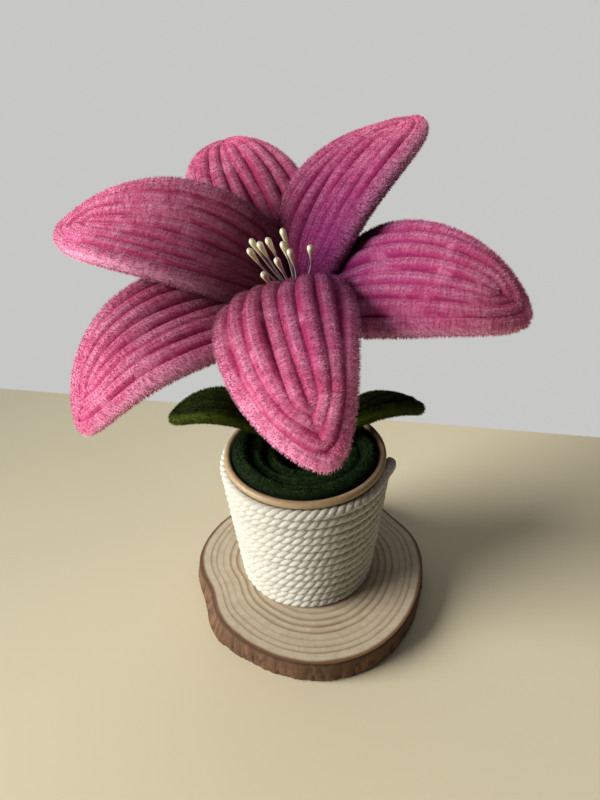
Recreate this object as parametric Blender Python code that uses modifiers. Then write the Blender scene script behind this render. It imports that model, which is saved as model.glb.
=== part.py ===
"""Potted lily made of chenille stems, in a rope-wrapped paper cup on a slice of wood.

Units are metres, +Z is up and the origin is on the table, under the middle of the cup.
The flower's front petal points towards -Y.
"""
import math
from collections import namedtuple

import bmesh
import bpy
from mathutils import Matrix, Vector

MM = 0.001
GAP = 0.3 * MM
WELD_DISTANCE = 0.01 * MM

# Wood slice
SLICE_THICKNESS = 11.0 * MM
SLICE_RADIUS = 45.6 * MM
SLICE_CENTRE = Vector((2.0 * MM, -3.0 * MM, 0.0))
SLICE_TOP = SLICE_THICKNESS
# Each dent is its middle in degrees, its half width in degrees and its depth
SLICE_NOTCH = (198, 14.5, 4.0 * MM)
SLICE_FLAT = (36, 16, 4.1 * MM)
BARK_FLARE = (206, 24, 3.6 * MM)
# Height, how far the bark stands out, and the share of the flare, from the underside up
BARK_LEVELS = ((0.0, 0.2, 0.9), (0.9, 1.0, 1.0), (4.0, 1.4, 0.9), (7.5, 0.8, 0.5),
               (10.2, 0.2, 0.1), (11.0, -0.5, 0.0))
SLICE_SIDES = 60

# Paper cup
CUP_FLOOR = SLICE_TOP + GAP
CUP_HEIGHT = 57.4 * MM
CUP_RIM_TOP = CUP_FLOOR + CUP_HEIGHT
CUP_BASE_RADIUS = 22.9 * MM
CUP_TOP_RADIUS = 28.3 * MM
CUP_WALL = 0.8 * MM
CUP_BASE_THICKNESS = 1.0 * MM
RIM_ROLL_RADIUS = 1.3 * MM

# Rope wound round the cup
ROPE_RADIUS = 1.95 * MM
ROPE_PITCH = 4.3 * MM
ROPE_STEPS_PER_TURN = 20
ROPE_START_ANGLE = math.radians(5.0)
ROPE_STEP_SHARE = 0.4

# Chenille coil that fills the mouth of the cup
COIL_RADIUS = 2.8 * MM
COIL_PITCH = 5.9 * MM
COIL_INNER_PATH = 12.8 * MM
COIL_OUTER_HEIGHT = 65.6 * MM
COIL_INNER_HEIGHT = 63.4 * MM
COIL_STEPS_PER_TURN = 26
COIL_START_ANGLE = math.radians(80.0)
COIL_STEP_SHARE = 0.3

# Flower head: where its axis passes through the ring of petal necks, and how it leans
HEAD = Vector((-1.0 * MM, 0.4 * MM, 130.3 * MM))
HEAD_LEAN = Vector((-0.445, -0.40, 1.0))
NECK_RING = 5.2 * MM
NECK_DEPTH = 13.0 * MM
OUTER_DROP = 6.3 * MM
HOLE_CLEARANCE = 0.35 * MM
# The receptacle's radii and places along the axis, from its top face down to the stem
RECEPTACLE = ((0.0, -8.6), (8.1, -8.6), (8.7, -9.5), (8.4, -13.4), (4.6, -17.5), (2.4, -19.0),
              (0.0, -19.0))

# Stem
STEM_RADIUS = 3.0 * MM
STEM_FOOT = Vector((0.5 * MM, 2.5 * MM, 34.0 * MM))
STEM_HEAD_JOIN = -15.0 * MM
STEM_BEND_START = 64.0 * MM
STEM_FOOT_PULL = Vector((1.0, 1.0, 20.0)) * MM
STEM_HEAD_PULL = 13.0 * MM
STEM_BEND_STEPS = 12

# Petals: four nested loops of chenille, so eight ribs across
PETAL_WIDTH = 38.0 * MM
PETAL_WIDEST = 0.49
PETAL_FULLNESS = 0.63
PETAL_NECK = 0.12
PETAL_RIBS = 8
PETAL_ARCH = 1.6 * MM

# Leaves: two nested loops of chenille, so four ribs across
LEAF_WIDTH = 21.5 * MM
LEAF_WIDEST = 0.62
LEAF_FULLNESS = 0.70
LEAF_NECK = 0.25
LEAF_RIBS = 4
LEAF_ARCH = 0.6 * MM
LEAF_FOOT_DEPTH = 12.0 * MM

CORE_RADIUS = 2.2 * MM
PILE_RADIUS = 2.7 * MM
RIB_VALLEY = 0.36
BLADE_STATIONS = (0.04, 0.08, 0.12, 0.17, 0.23, 0.30, 0.38, 0.46, 0.55, 0.64, 0.73, 0.81, 0.88,
                  0.94, 0.985)
TIP_ANGLES = (35, 65, 85)

# Stamens
STAMEN_LENGTH = 20.5 * MM
STAMEN_ROOT = 4.0 * MM
BUNDLE_RADIUS = 1.7 * MM
THREAD_RADIUS = 0.4 * MM
ANTHER_RADIUS = 1.2 * MM
ANTHER_LENGTH = 5.0 * MM
# The head's share of its length and of its radius, from where it meets the thread
ANTHER_PROFILE = ((0.3, 0.75), (0.62, 1.0), (0.85, 0.75), (1.0, 0.2))
# Each stamen's lean from the flower's axis and the side it leans to, in degrees
STAMENS = ((13, 170), (17, -154), (8, -135), (7, -58), (14, 10), (18, -36), (27, -46), (28, -72),
           (34, -93), (39, -24))

# Angles are in degrees and lengths in millimetres. A blade leaves its neck at the angle rise
# and turns downwards by bend on the way to its tip; power below 1 turns it early. The cup
# angles are how far its sheet turns up from midrib to edge, at the base and at the tip.
Blade = namedtuple("Blade", "name azimuth rise bend power roll length cup_base cup_tip drop")
PETALS = (
    Blade("petal_left", 162, 81, 87, 0.67, -2, 81.5, 46, 16, 0.0),
    Blade("petal_back", 107, 57.5, 88, 1.03, 14, 85.0, 11, -17, OUTER_DROP),
    Blade("petal_upper_right", 49, 92, 116, 0.35, 10, 72.5, 32, 2, 0.0),
    Blade("petal_right", -22, 45, 108, 1.16, 3, 73.0, 9, -21, OUTER_DROP),
    Blade("petal_front", -80, 81, 126, 0.79, -14, 80.0, -17, -46, 0.0),
    Blade("petal_lower_left", -147.5, 58, 107, 1.43, -12, 86.0, 25, -5, OUTER_DROP),
)
LEAVES = (
    Blade("leaf_left", 179, 82, 122, 1.17, 2, 57.0, 18, 18, 0.0),
    Blade("leaf_right", 25, 79, 137, 1.14, -13, 58.0, -6, -6, 0.0),
)
LEAF_FEET = (Vector((-6.0 * MM, 2.0 * MM, 61.0 * MM)), Vector((6.4 * MM, 2.6 * MM, 61.0 * MM)))

# Base colour and roughness of each material
MATERIALS = {
    "wood": ((0.72, 0.56, 0.38), 0.8),
    "paper": ((0.66, 0.47, 0.28), 0.55),
    "rope": ((0.84, 0.81, 0.72), 0.95),
    "foam": ((0.12, 0.20, 0.08), 0.95),
    "green_chenille": ((0.05, 0.10, 0.02), 0.95),
    "pink_chenille": ((0.80, 0.18, 0.38), 0.9),
    "stamen": ((0.90, 0.86, 0.62), 0.4),
}


def clear_scene():
    for item in list(bpy.data.objects):
        bpy.data.objects.remove(item, do_unlink=True)


def new_collection(name):
    group = bpy.data.collections.new(name)
    bpy.context.scene.collection.children.link(group)
    return group


def give_material(item, slot):
    """Each object gets a material of its own, so the name carries the object's name."""
    colour, roughness = MATERIALS[slot]
    material = bpy.data.materials.new(item.name + "_" + slot)
    material.use_nodes = True
    shader = material.node_tree.nodes["Principled BSDF"]
    shader.inputs["Base Color"].default_value = (*colour, 1.0)
    shader.inputs["Roughness"].default_value = roughness
    item.data.materials.clear()
    item.data.materials.append(material)


def add_mesh(name, mesh, group, slot, smooth_angle=50):
    item = bpy.data.objects.new(name, mesh)
    group.objects.link(item)
    give_material(item, slot)
    mesh.shade_smooth()
    mesh.set_sharp_from_angle(angle=math.radians(smooth_angle))
    return item


def close_outward(mesh):
    """Welds points that lie together and turns all faces outwards."""
    build = bmesh.new()
    build.from_mesh(mesh)
    bmesh.ops.remove_doubles(build, verts=build.verts, dist=WELD_DISTANCE)
    bmesh.ops.recalc_face_normals(build, faces=build.faces)
    build.to_mesh(mesh)
    build.free()


def loft(name, rings):
    """A closed mesh through rings of equal point counts, with a flat cap on each end."""
    build = bmesh.new()
    rows = [[build.verts.new(point) for point in ring] for ring in rings]
    count = len(rows[0])
    for low, high in zip(rows, rows[1:]):
        for i in range(count):
            j = (i + 1) % count
            build.faces.new((low[i], low[j], high[j], high[i]))
    build.faces.new(list(reversed(rows[0])))
    build.faces.new(rows[-1])
    bmesh.ops.recalc_face_normals(build, faces=build.faces)
    mesh = bpy.data.meshes.new(name)
    build.to_mesh(mesh)
    build.free()
    return mesh


def tube(name, points, radius):
    """A round tube along the points, as a mesh with welded caps."""
    curve = bpy.data.curves.new(name, "CURVE")
    curve.dimensions = "3D"
    curve.bevel_depth = radius
    curve.bevel_resolution = 2
    curve.use_fill_caps = True
    spline = curve.splines.new("POLY")
    spline.points.add(len(points) - 1)
    for target, point in zip(spline.points, points):
        target.co = (*point, 1.0)
    holder = bpy.data.objects.new(name + "_curve", curve)
    bpy.context.scene.collection.objects.link(holder)
    bpy.context.view_layer.update()
    mesh = bpy.data.meshes.new_from_object(holder.evaluated_get(bpy.context.evaluated_depsgraph_get()))
    bpy.data.objects.remove(holder, do_unlink=True)
    close_outward(mesh)
    return mesh


def turned(name, profile, steps):
    """Turns a profile of (radius, height) points, listed from the top down, about Z."""
    mesh = bpy.data.meshes.new(name)
    verts = [(radius, 0.0, height) for radius, height in profile]
    edges = [(i, i + 1) for i in range(len(verts) - 1)]
    mesh.from_pydata(verts, edges, [])
    holder = bpy.data.objects.new(name + "_profile", mesh)
    bpy.context.scene.collection.objects.link(holder)
    screw = holder.modifiers.new("turn", "SCREW")
    screw.angle = math.tau
    screw.steps = steps
    screw.render_steps = steps
    screw.use_merge_vertices = True
    screw.merge_threshold = WELD_DISTANCE
    bpy.context.view_layer.update()
    result = bpy.data.meshes.new_from_object(holder.evaluated_get(bpy.context.evaluated_depsgraph_get()))
    bpy.data.objects.remove(holder, do_unlink=True)
    close_outward(result)
    return result


def cylinder_cutter(name, group, foot, direction, radius, length, sides=20):
    """A cutter that starts at foot and runs along direction."""
    build = bmesh.new()
    turn = direction.to_track_quat("Z", "Y").to_matrix().to_4x4()
    place = Matrix.Translation(foot + direction * (length / 2)) @ turn
    bmesh.ops.create_cone(build, cap_ends=True, segments=sides, radius1=radius, radius2=radius,
                          depth=length, matrix=place)
    mesh = bpy.data.meshes.new(name)
    build.to_mesh(mesh)
    build.free()
    cutter = bpy.data.objects.new(name, mesh)
    group.objects.link(cutter)
    cutter.hide_render = True
    cutter.display_type = "WIRE"
    return cutter


def combine(item, operation, others=None, collection=None):
    """Applies one Boolean to item and removes the objects that it used."""
    change = item.modifiers.new(operation.lower(), "BOOLEAN")
    change.operation = operation
    change.solver = "EXACT"
    if collection is None:
        change.object = others
        used = [others]
    else:
        change.operand_type = "COLLECTION"
        change.collection = collection
        used = list(collection.objects)
    bpy.context.view_layer.update()
    result = bpy.data.meshes.new_from_object(item.evaluated_get(bpy.context.evaluated_depsgraph_get()))
    item.modifiers.remove(change)
    item.data = result
    for other in used:
        bpy.data.objects.remove(other, do_unlink=True)


def head_frame():
    """The flower's own frame: X and Y across its face, Z along its axis."""
    axis = HEAD_LEAN.normalized()
    across = (Vector((1, 0, 0)) - axis * axis.x).normalized()
    return across, axis.cross(across), axis


def cup_outer_radius(height):
    """Outer radius of the cup's wall at a height above the table."""
    share = (height - CUP_FLOOR) / CUP_HEIGHT
    return CUP_BASE_RADIUS + (CUP_TOP_RADIUS - CUP_BASE_RADIUS) * share


def slice_radius(angle, flare):
    """Outline of the wood slice: a gentle wave, a flat, and a notch that closes downwards."""
    def dent(middle, width, depth):
        away = (angle - math.radians(middle) + math.pi) % math.tau - math.pi
        return depth * math.exp(-(away / math.radians(width)) ** 2)

    wave = 0.6 * math.cos(2 * angle - 0.9) + 1.5 * math.cos(3 * angle - 2.3)
    notch = dent(*SLICE_NOTCH) - flare * dent(*BARK_FLARE)
    return SLICE_RADIUS + wave * MM - notch - dent(*SLICE_FLAT)


def bark_ripple(angle):
    return (0.30 * math.sin(13 * angle + 0.7) + 0.25 * math.sin(23 * angle + 2.0)) * MM


def make_slice(group):
    """The disc bulges through the bark and is a little narrower at its top edge."""
    rings = []
    for height, outset, flare in BARK_LEVELS:
        ring = []
        for i in range(SLICE_SIDES):
            angle = math.tau * i / SLICE_SIDES
            radius = slice_radius(angle, flare) + outset * MM + bark_ripple(angle)
            side = Vector((math.cos(angle), math.sin(angle), 0.0))
            ring.append(SLICE_CENTRE + side * radius + Vector((0, 0, height * MM)))
        rings.append(ring)
    add_mesh("wood_slice", loft("wood_slice", rings), group, "wood", 40)


def make_cup(group):
    """Wall, floor and rolled rim in one piece, turned as a closed shell open at the top."""
    roll_centre = Vector((CUP_TOP_RADIUS + 0.45 * MM, CUP_RIM_TOP - RIM_ROLL_RADIUS))
    roll = []
    for degrees in (180, 135, 90, 45, 0, -45, -90):
        angle = math.radians(degrees)
        roll.append((roll_centre.x + RIM_ROLL_RADIUS * math.cos(angle),
                     roll_centre.y + RIM_ROLL_RADIUS * math.sin(angle)))
    under_rim = CUP_RIM_TOP - 2.1 * RIM_ROLL_RADIUS
    inner_floor = CUP_FLOOR + CUP_BASE_THICKNESS
    profile = list(roll)
    profile.append((cup_outer_radius(under_rim), under_rim))
    profile.append((CUP_BASE_RADIUS, CUP_FLOOR))
    profile.append((0.0, CUP_FLOOR))
    inner = [(0.0, inner_floor), (cup_outer_radius(inner_floor) - CUP_WALL, inner_floor),
             (cup_outer_radius(under_rim) - CUP_WALL, under_rim)]
    outline = inner + profile
    mesh = turned("paper_cup", outline, 40)
    add_mesh("paper_cup", mesh, group, "paper", 40)


def turns_passed(turns, step_share):
    """Level turns: each one moves on to the next over the last share of the turn only."""
    whole = math.floor(turns)
    late = max(0.0, (turns - whole - (1 - step_share)) / step_share)
    return whole + late * late * (3 - 2 * late)


def rope_points():
    """Level turns on the cup's wall from under the rim to the wood, stepping at the back."""
    top = CUP_RIM_TOP - 2 * RIM_ROLL_RADIUS - GAP - ROPE_RADIUS
    bottom = SLICE_TOP + GAP + ROPE_RADIUS
    rows = round((top - bottom) / ROPE_PITCH)
    turns = rows + 1 - 1.2 * ROPE_STEP_SHARE
    steps = round(turns * ROPE_STEPS_PER_TURN)
    chord_sag = 1.0 / math.cos(math.pi / ROPE_STEPS_PER_TURN)
    points = []
    for i in range(steps + 1):
        passed = turns_passed(i / ROPE_STEPS_PER_TURN, ROPE_STEP_SHARE)
        height = top + (bottom - top) * passed / rows
        angle = ROPE_START_ANGLE - math.tau * i / ROPE_STEPS_PER_TURN
        radius = (cup_outer_radius(height) + GAP + ROPE_RADIUS) * chord_sag
        points.append(Vector((radius * math.cos(angle), radius * math.sin(angle), height)))
    return points


def make_rope(group):
    add_mesh("rope_wrap", tube("rope_wrap", rope_points(), ROPE_RADIUS), group, "rope")


def coil_outer_path():
    return cup_outer_radius(COIL_OUTER_HEIGHT) - CUP_WALL - GAP - COIL_RADIUS - 0.2 * MM


def coil_height(path_radius):
    """The coil lies in a shallow dish, so its inner turn is lower."""
    share = (path_radius - COIL_INNER_PATH) / (coil_outer_path() - COIL_INNER_PATH)
    return COIL_INNER_HEIGHT + (COIL_OUTER_HEIGHT - COIL_INNER_HEIGHT) * share


def coil_points():
    """Flat turns that start against the cup's wall and step inwards at the back."""
    outer = coil_outer_path()
    rows = round((outer - COIL_INNER_PATH) / COIL_PITCH)
    turns = rows + 1 - 1.2 * COIL_STEP_SHARE
    steps = round(turns * COIL_STEPS_PER_TURN)
    points = []
    for i in range(steps + 1):
        passed = turns_passed(i / COIL_STEPS_PER_TURN, COIL_STEP_SHARE)
        radius = outer + (COIL_INNER_PATH - outer) * passed / rows
        angle = COIL_START_ANGLE + math.tau * i / COIL_STEPS_PER_TURN
        points.append(Vector((radius * math.cos(angle), radius * math.sin(angle),
                              coil_height(radius))))
    return points


def make_coil(group):
    add_mesh("moss_coil", tube("moss_coil", coil_points(), COIL_RADIUS), group, "green_chenille")


def make_foam(group, cutters):
    """The plug fills the cup and is dished on top; stem and leaves stand in plain holes."""
    foot = CUP_FLOOR + CUP_BASE_THICKNESS + GAP
    under = COIL_RADIUS + GAP
    edge_height = coil_height(coil_outer_path()) - under
    inset = CUP_WALL + GAP
    profile = [(0.0, COIL_INNER_HEIGHT - under), (COIL_INNER_PATH, COIL_INNER_HEIGHT - under),
               (coil_outer_path(), edge_height),
               (cup_outer_radius(edge_height) - inset, edge_height),
               (cup_outer_radius(foot) - inset, foot), (0.0, foot)]
    mesh = turned("foam_plug", profile, 32)
    plug = add_mesh("foam_plug", mesh, group, "foam", 40)
    up = Vector((0, 0, 1))
    holes = [(STEM_FOOT - up * GAP, STEM_RADIUS)]
    for blade_foot in LEAF_FEET:
        holes.append((blade_foot - up * (LEAF_FOOT_DEPTH + GAP), CORE_RADIUS))
    for i, (point, radius) in enumerate(holes):
        cylinder_cutter(f"foam_hole_{i}", cutters, point, up, radius + GAP, CUP_HEIGHT)
    combine(plug, "DIFFERENCE", collection=cutters)


def stem_points():
    """Up out of the foam, then over in one easy bend to meet the flower's axis."""
    _, _, axis = head_frame()
    end = HEAD + axis * STEM_HEAD_JOIN
    start = Vector((STEM_FOOT.x, STEM_FOOT.y, STEM_BEND_START))
    first = start + STEM_FOOT_PULL
    second = end - axis * STEM_HEAD_PULL
    points = [STEM_FOOT.copy(), start.lerp(STEM_FOOT, 0.3)]
    for i in range(STEM_BEND_STEPS + 1):
        t = i / STEM_BEND_STEPS
        points.append(start * (1 - t) ** 3 + first * (3 * t * (1 - t) ** 2)
                      + second * (3 * t * t * (1 - t)) + end * t ** 3)
    return points


def neck_centre(blade, across, upward, axis):
    angle = math.radians(blade.azimuth)
    outward = across * math.cos(angle) + upward * math.sin(angle)
    return HEAD + outward * NECK_RING, outward


def make_stem(group, cutters):
    """The wrapped stem widens into a cup that holds the petal necks and the stamens."""
    across, upward, axis = head_frame()
    stem = add_mesh("stem", tube("stem", stem_points(), STEM_RADIUS), group, "green_chenille")
    profile = [(radius * MM, height * MM) for radius, height in RECEPTACLE]
    mesh = turned("receptacle", profile, 24)
    place = Matrix.Translation(HEAD) @ Matrix((across, upward, axis)).transposed().to_4x4()
    mesh.transform(place)
    head = add_mesh("receptacle", mesh, cutters, "green_chenille")
    combine(stem, "UNION", others=head)
    depth = NECK_DEPTH + GAP
    length = NECK_DEPTH
    for blade in PETALS:
        centre, _ = neck_centre(blade, across, upward, axis)
        cylinder_cutter(blade.name + "_hole", cutters, centre - axis * depth, axis,
                        CORE_RADIUS + HOLE_CLEARANCE, length)
    cylinder_cutter("stamen_hole", cutters, HEAD - axis * depth, axis,
                    BUNDLE_RADIUS + HOLE_CLEARANCE, length)
    combine(stem, "DIFFERENCE", collection=cutters)


def outline_share(s, widest, fullness, neck):
    """Half width of a blade as a share of its greatest, with a narrow neck at the base."""
    if s <= 0.0 or s >= 1.0:
        return 0.0
    rise_power = fullness * widest / (1.0 - widest)
    share = (s / widest) ** rise_power * ((1.0 - s) / (1.0 - widest)) ** fullness
    return share * (1.0 - math.exp(-(s / neck) ** 2))


def midrib(blade, root, outward, axis, s):
    """Midrib point and its tangent and upper normal at the share s of the length."""
    length = blade.length * MM
    point = root.copy()
    pieces = 40
    previous = None
    for i in range(pieces + 1):
        here = s * i / pieces
        angle = math.radians(blade.rise - blade.bend * max(here, 1e-9) ** blade.power)
        along = outward * math.cos(angle) + axis * math.sin(angle)
        if previous is not None:
            point = point + (along + previous) * (0.5 * s * length / pieces)
        previous = along
    angle = math.radians(blade.rise - blade.bend * max(s, 1e-9) ** blade.power)
    normal = axis * math.cos(angle) - outward * math.sin(angle)
    return point, previous, normal


def ring_columns(ribs):
    """Places across a blade, in rib pitches from its midrib, with the height share at each."""
    last = (ribs - 1) / 2
    columns = [(-last, 0.0, True)]
    for j in range(2 * ribs - 1):
        columns.append((-last + j / 2, 1.0 if j % 2 == 0 else RIB_VALLEY, False))
    columns.append((last, 0.0, True))
    return columns


def blade_ring(centre, across, normal, half_width, turn, arch, ribs, shrink):
    """One closed section of a blade: ribs above and below, or a plain round neck."""
    columns = ring_columns(ribs)
    spread = min(1.0, half_width / (2.2 * CORE_RADIUS))
    spread = spread * spread * (3 - 2 * spread)
    last = (ribs - 1) / 2
    upper = []
    lower = []
    for i, (place, share, is_edge) in enumerate(columns):
        round_angle = math.radians(-90 + 180 * i / (len(columns) - 1))
        side = place / last
        sideways = half_width * side + (1 - spread) * CORE_RADIUS * math.sin(round_angle)
        if is_edge:
            sideways = math.copysign(half_width + CORE_RADIUS, place)
        height = CORE_RADIUS * ((1 - spread) * math.cos(round_angle) + spread * share)
        bend = turn * sideways
        rate = turn if abs(turn) > 1e-6 else 1e-6
        flat = math.sin(rate * sideways) / rate
        lift = (1 - math.cos(rate * sideways)) / rate
        lift += arch * 4 * abs(side) * (1 - abs(side))
        sheet = centre + (across * flat + normal * lift) * shrink
        facing = normal * math.cos(bend) - across * math.sin(bend)
        upper.append(sheet + facing * (height * shrink))
        if not is_edge:
            lower.append(sheet - facing * (height * shrink))
    return upper + list(reversed(lower))


def blade_rings(blade, root, outward, axis, foot_depth, width, shape, ribs, arch):
    """Sections of a petal or leaf from the foot of its neck to its rounded tip."""
    widest, fullness, neck = shape
    rings = []
    sideways = axis.cross(outward)
    foot = root - axis * foot_depth
    lower_neck = root.lerp(foot, 0.12)
    for centre in (foot, lower_neck):
        rings.append(blade_ring(centre, sideways, -outward, 0.0, 0.0, 0.0, ribs, 1.0))
    stops = [(s, 0.0) for s in BLADE_STATIONS]
    stops += [(BLADE_STATIONS[-1], math.radians(angle)) for angle in TIP_ANGLES]
    for s, tip_angle in stops:
        point, tangent, normal = midrib(blade, root, outward, axis, s)
        roll = math.radians(blade.roll) * min(1.0, s / 0.3)
        across = sideways * math.cos(roll) + normal * math.sin(roll)
        facing = normal * math.cos(roll) - sideways * math.sin(roll)
        share = outline_share(s, widest, fullness, neck)
        covered = PILE_RADIUS * min(1.0, s / 0.1 + 0.05)
        half_width = max(0.0, width / 2 * share - covered)
        turn = math.radians(blade.cup_base * (1 - s) + blade.cup_tip * s) / (width / 2)
        lift = arch * half_width / (width / 2)
        point = point + tangent * (CORE_RADIUS * math.sin(tip_angle))
        rings.append(blade_ring(point, across, facing, half_width, turn, lift, ribs,
                                math.cos(tip_angle)))
    return rings


def make_petals(group):
    across, upward, axis = head_frame()
    shape = (PETAL_WIDEST, PETAL_FULLNESS, PETAL_NECK)
    for blade in PETALS:
        centre, outward = neck_centre(blade, across, upward, axis)
        root = centre - axis * blade.drop
        rings = blade_rings(blade, root, outward, axis, NECK_DEPTH - blade.drop, PETAL_WIDTH,
                            shape, PETAL_RIBS, PETAL_ARCH)
        add_mesh(blade.name, loft(blade.name, rings), group, "pink_chenille", 80)


def make_leaves(group):
    up = Vector((0, 0, 1))
    shape = (LEAF_WIDEST, LEAF_FULLNESS, LEAF_NECK)
    for blade, root in zip(LEAVES, LEAF_FEET):
        angle = math.radians(blade.azimuth)
        outward = Vector((math.cos(angle), math.sin(angle), 0.0))
        rings = blade_rings(blade, root, outward, up, LEAF_FOOT_DEPTH, LEAF_WIDTH, shape,
                            LEAF_RIBS, LEAF_ARCH)
        add_mesh(blade.name, loft(blade.name, rings), group, "green_chenille", 80)


def ring_about(centre, direction, radius, sides):
    turn = direction.to_track_quat("Z", "Y")
    ring = []
    for i in range(sides):
        angle = math.tau * i / sides
        ring.append(centre + turn @ Vector((radius * math.cos(angle), radius * math.sin(angle), 0)))
    return ring


def stamen_rings(root, direction):
    """A thread that ends in a drop-shaped head, thickest two thirds of the way up."""
    base = STAMEN_LENGTH - ANTHER_LENGTH / 2
    rings = [ring_about(root, direction, THREAD_RADIUS, 6),
             ring_about(root + direction * base, direction, THREAD_RADIUS, 6)]
    for share, wide in ANTHER_PROFILE:
        place = root + direction * (base + ANTHER_LENGTH * share)
        rings.append(ring_about(place, direction, ANTHER_RADIUS * wide, 6))
    return rings


def make_stamens(group, cutters):
    across, upward, axis = head_frame()
    root = HEAD + axis * STAMEN_ROOT
    foot = HEAD - axis * NECK_DEPTH
    shaft = [ring_about(foot, axis, BUNDLE_RADIUS, 12),
             ring_about(root, axis, BUNDLE_RADIUS, 12),
             ring_about(root + axis * (1.2 * MM), axis, BUNDLE_RADIUS * 0.6, 12)]
    bundle = add_mesh("stamens", loft("stamens", shaft), group, "stamen")
    for i, (lean, side) in enumerate(STAMENS):
        turn = math.radians(side)
        tilt = math.radians(lean)
        sideways = across * math.cos(turn) + upward * math.sin(turn)
        direction = axis * math.cos(tilt) + sideways * math.sin(tilt)
        start = root + sideways * (0.5 * MM) - axis * (1.0 * MM)
        name = f"stamen_{i}"
        add_mesh(name, loft(name, stamen_rings(start, direction)), cutters, "stamen")
    combine(bundle, "UNION", collection=cutters)


def main():
    clear_scene()
    parts = new_collection("potted_lily")
    cutters = new_collection("cutters")
    make_slice(parts)
    make_cup(parts)
    make_rope(parts)
    make_coil(parts)
    make_foam(parts, cutters)
    make_stem(parts, cutters)
    make_petals(parts)
    make_leaves(parts)
    make_stamens(parts, cutters)


main()
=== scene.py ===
"""Potted lily of chenille stems, in a rope-wrapped paper cup on a slice of wood.

Lengths are metres, +Z is up and the origin is on the table under the cup.
"""

import math
from collections import namedtuple

import bpy
import numpy as np
from mathutils import Matrix, Vector, noise


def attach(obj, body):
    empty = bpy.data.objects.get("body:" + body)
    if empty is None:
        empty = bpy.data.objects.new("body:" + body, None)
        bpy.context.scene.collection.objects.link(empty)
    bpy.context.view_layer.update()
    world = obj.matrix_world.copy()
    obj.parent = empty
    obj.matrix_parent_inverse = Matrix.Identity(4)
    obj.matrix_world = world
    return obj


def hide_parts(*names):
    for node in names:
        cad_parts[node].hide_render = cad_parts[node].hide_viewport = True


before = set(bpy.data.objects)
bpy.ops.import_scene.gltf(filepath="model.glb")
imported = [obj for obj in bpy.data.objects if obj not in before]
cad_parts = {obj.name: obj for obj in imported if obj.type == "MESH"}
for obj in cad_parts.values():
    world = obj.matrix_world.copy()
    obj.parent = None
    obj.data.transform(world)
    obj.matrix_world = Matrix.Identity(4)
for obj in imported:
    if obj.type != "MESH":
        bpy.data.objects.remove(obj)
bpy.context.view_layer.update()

# Wood slice. A cross cut of a small branch, sanded on both faces, with its bark left on.
# The growth rings follow the outline, with a notch where a side branch grew and a flat on
# the far side. It lies on the table and carries the cup.
MM = 0.001
SLICE_THICKNESS = 11.0 * MM
SLICE_RADIUS = 46.9 * MM
SLICE_MIDDLE = Vector((2.0 * MM, -3.0 * MM, 0.0))
SLICE_SIDES = 400
# Each dent is its middle in degrees, its half width in degrees and its depth
SLICE_NOTCH = (198, 14.5, 3.6 * MM)
SLICE_FLAT = (36, 17, 3.5 * MM)
BARK_FLARE = (206, 24, 3.0 * MM)
# Height, how far the bark stands out and the share of the flare, from the underside up
BARK_LEVELS = ((0.0, -1.1, 0.9), (0.9, -0.3, 1.0), (4.0, 0.1, 0.9), (7.5, -0.1, 0.5),
               (10.2, -0.2, 0.1), (11.0, -0.6, 0.0))
BARK_STEPS = 22
UNDER_SHARES = (0.5, 0.93)
FACE_SHARES = (0.985, 0.95, 0.9, 0.8, 0.68, 0.54, 0.38, 0.2)
FACE_INSET = 0.5 * MM
# Width round the slice and height of the bark's plates, cracks and fibres, in millimetres
PLATE_SIZE = (5.5, 11.0)
CRACK_SIZE = (3.4, 16.0)
FIBRE_SIZE = (0.9, 5.0)
PLATE_HEIGHT = 0.4 * MM
CRACK_DEPTH = 0.4 * MM
CRACK_SHARPNESS = 0.07
# Each growth ring's place, darkness and width, as shares of the way from the pith to the bark
INNER_RINGS = ((0.09, 0.5, 0.03), (0.17, 0.7, 0.03), (0.25, 0.6, 0.03), (0.33, 0.8, 0.03),
               (0.41, 0.7, 0.028), (0.485, 0.8, 0.03), (0.55, 0.7, 0.03))
OUTER_RINGS = ((0.615, 0.9, 0.03), (0.675, 1.0, 0.03), (0.735, 0.95, 0.024), (0.80, 0.45, 0.02),
               (0.86, 0.65, 0.02), (0.91, 0.85, 0.018))
RING_WAVER = 0.03
RAY_COUNT = 75.0
SAPWOOD = ((0.47, 0.39, 0.27), (0.57, 0.50, 0.37))
RAY_BROWN = (0.40, 0.30, 0.18)
RING_BROWNS = ((0.30, 0.17, 0.07), (0.24, 0.145, 0.07))
UNDER_BARK_BROWN = (0.16, 0.075, 0.03)
BARK_BROWNS = ((0.035, 0.015, 0.006), (0.115, 0.052, 0.021), (0.25, 0.13, 0.065))
BARK_PATCH = (0.16, 0.078, 0.034)
WEATHERED_BARK = (0.070, 0.036, 0.012)
BARK_BRINK = (0.035, 0.015, 0.007)
CRACK_BROWN = (0.03, 0.012, 0.007)


def side_at(angle):
    """The level direction at an angle round the middle."""
    return Vector((math.cos(angle), math.sin(angle), 0.0))


def slice_outline(angle, flare):
    """Radius of the slice: a gentle wave, a flat, and a notch that closes downwards."""
    def dent(middle, width, depth):
        away = (angle - math.radians(middle) + math.pi) % math.tau - math.pi
        return depth * math.exp(-(away / math.radians(width)) ** 2)

    wave = 0.6 * math.cos(2 * angle - 0.9) + 1.5 * math.cos(3 * angle - 2.3)
    notch = dent(*SLICE_NOTCH) - flare * dent(*BARK_FLARE)
    return SLICE_RADIUS + wave * MM - notch - dent(*SLICE_FLAT)


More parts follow.
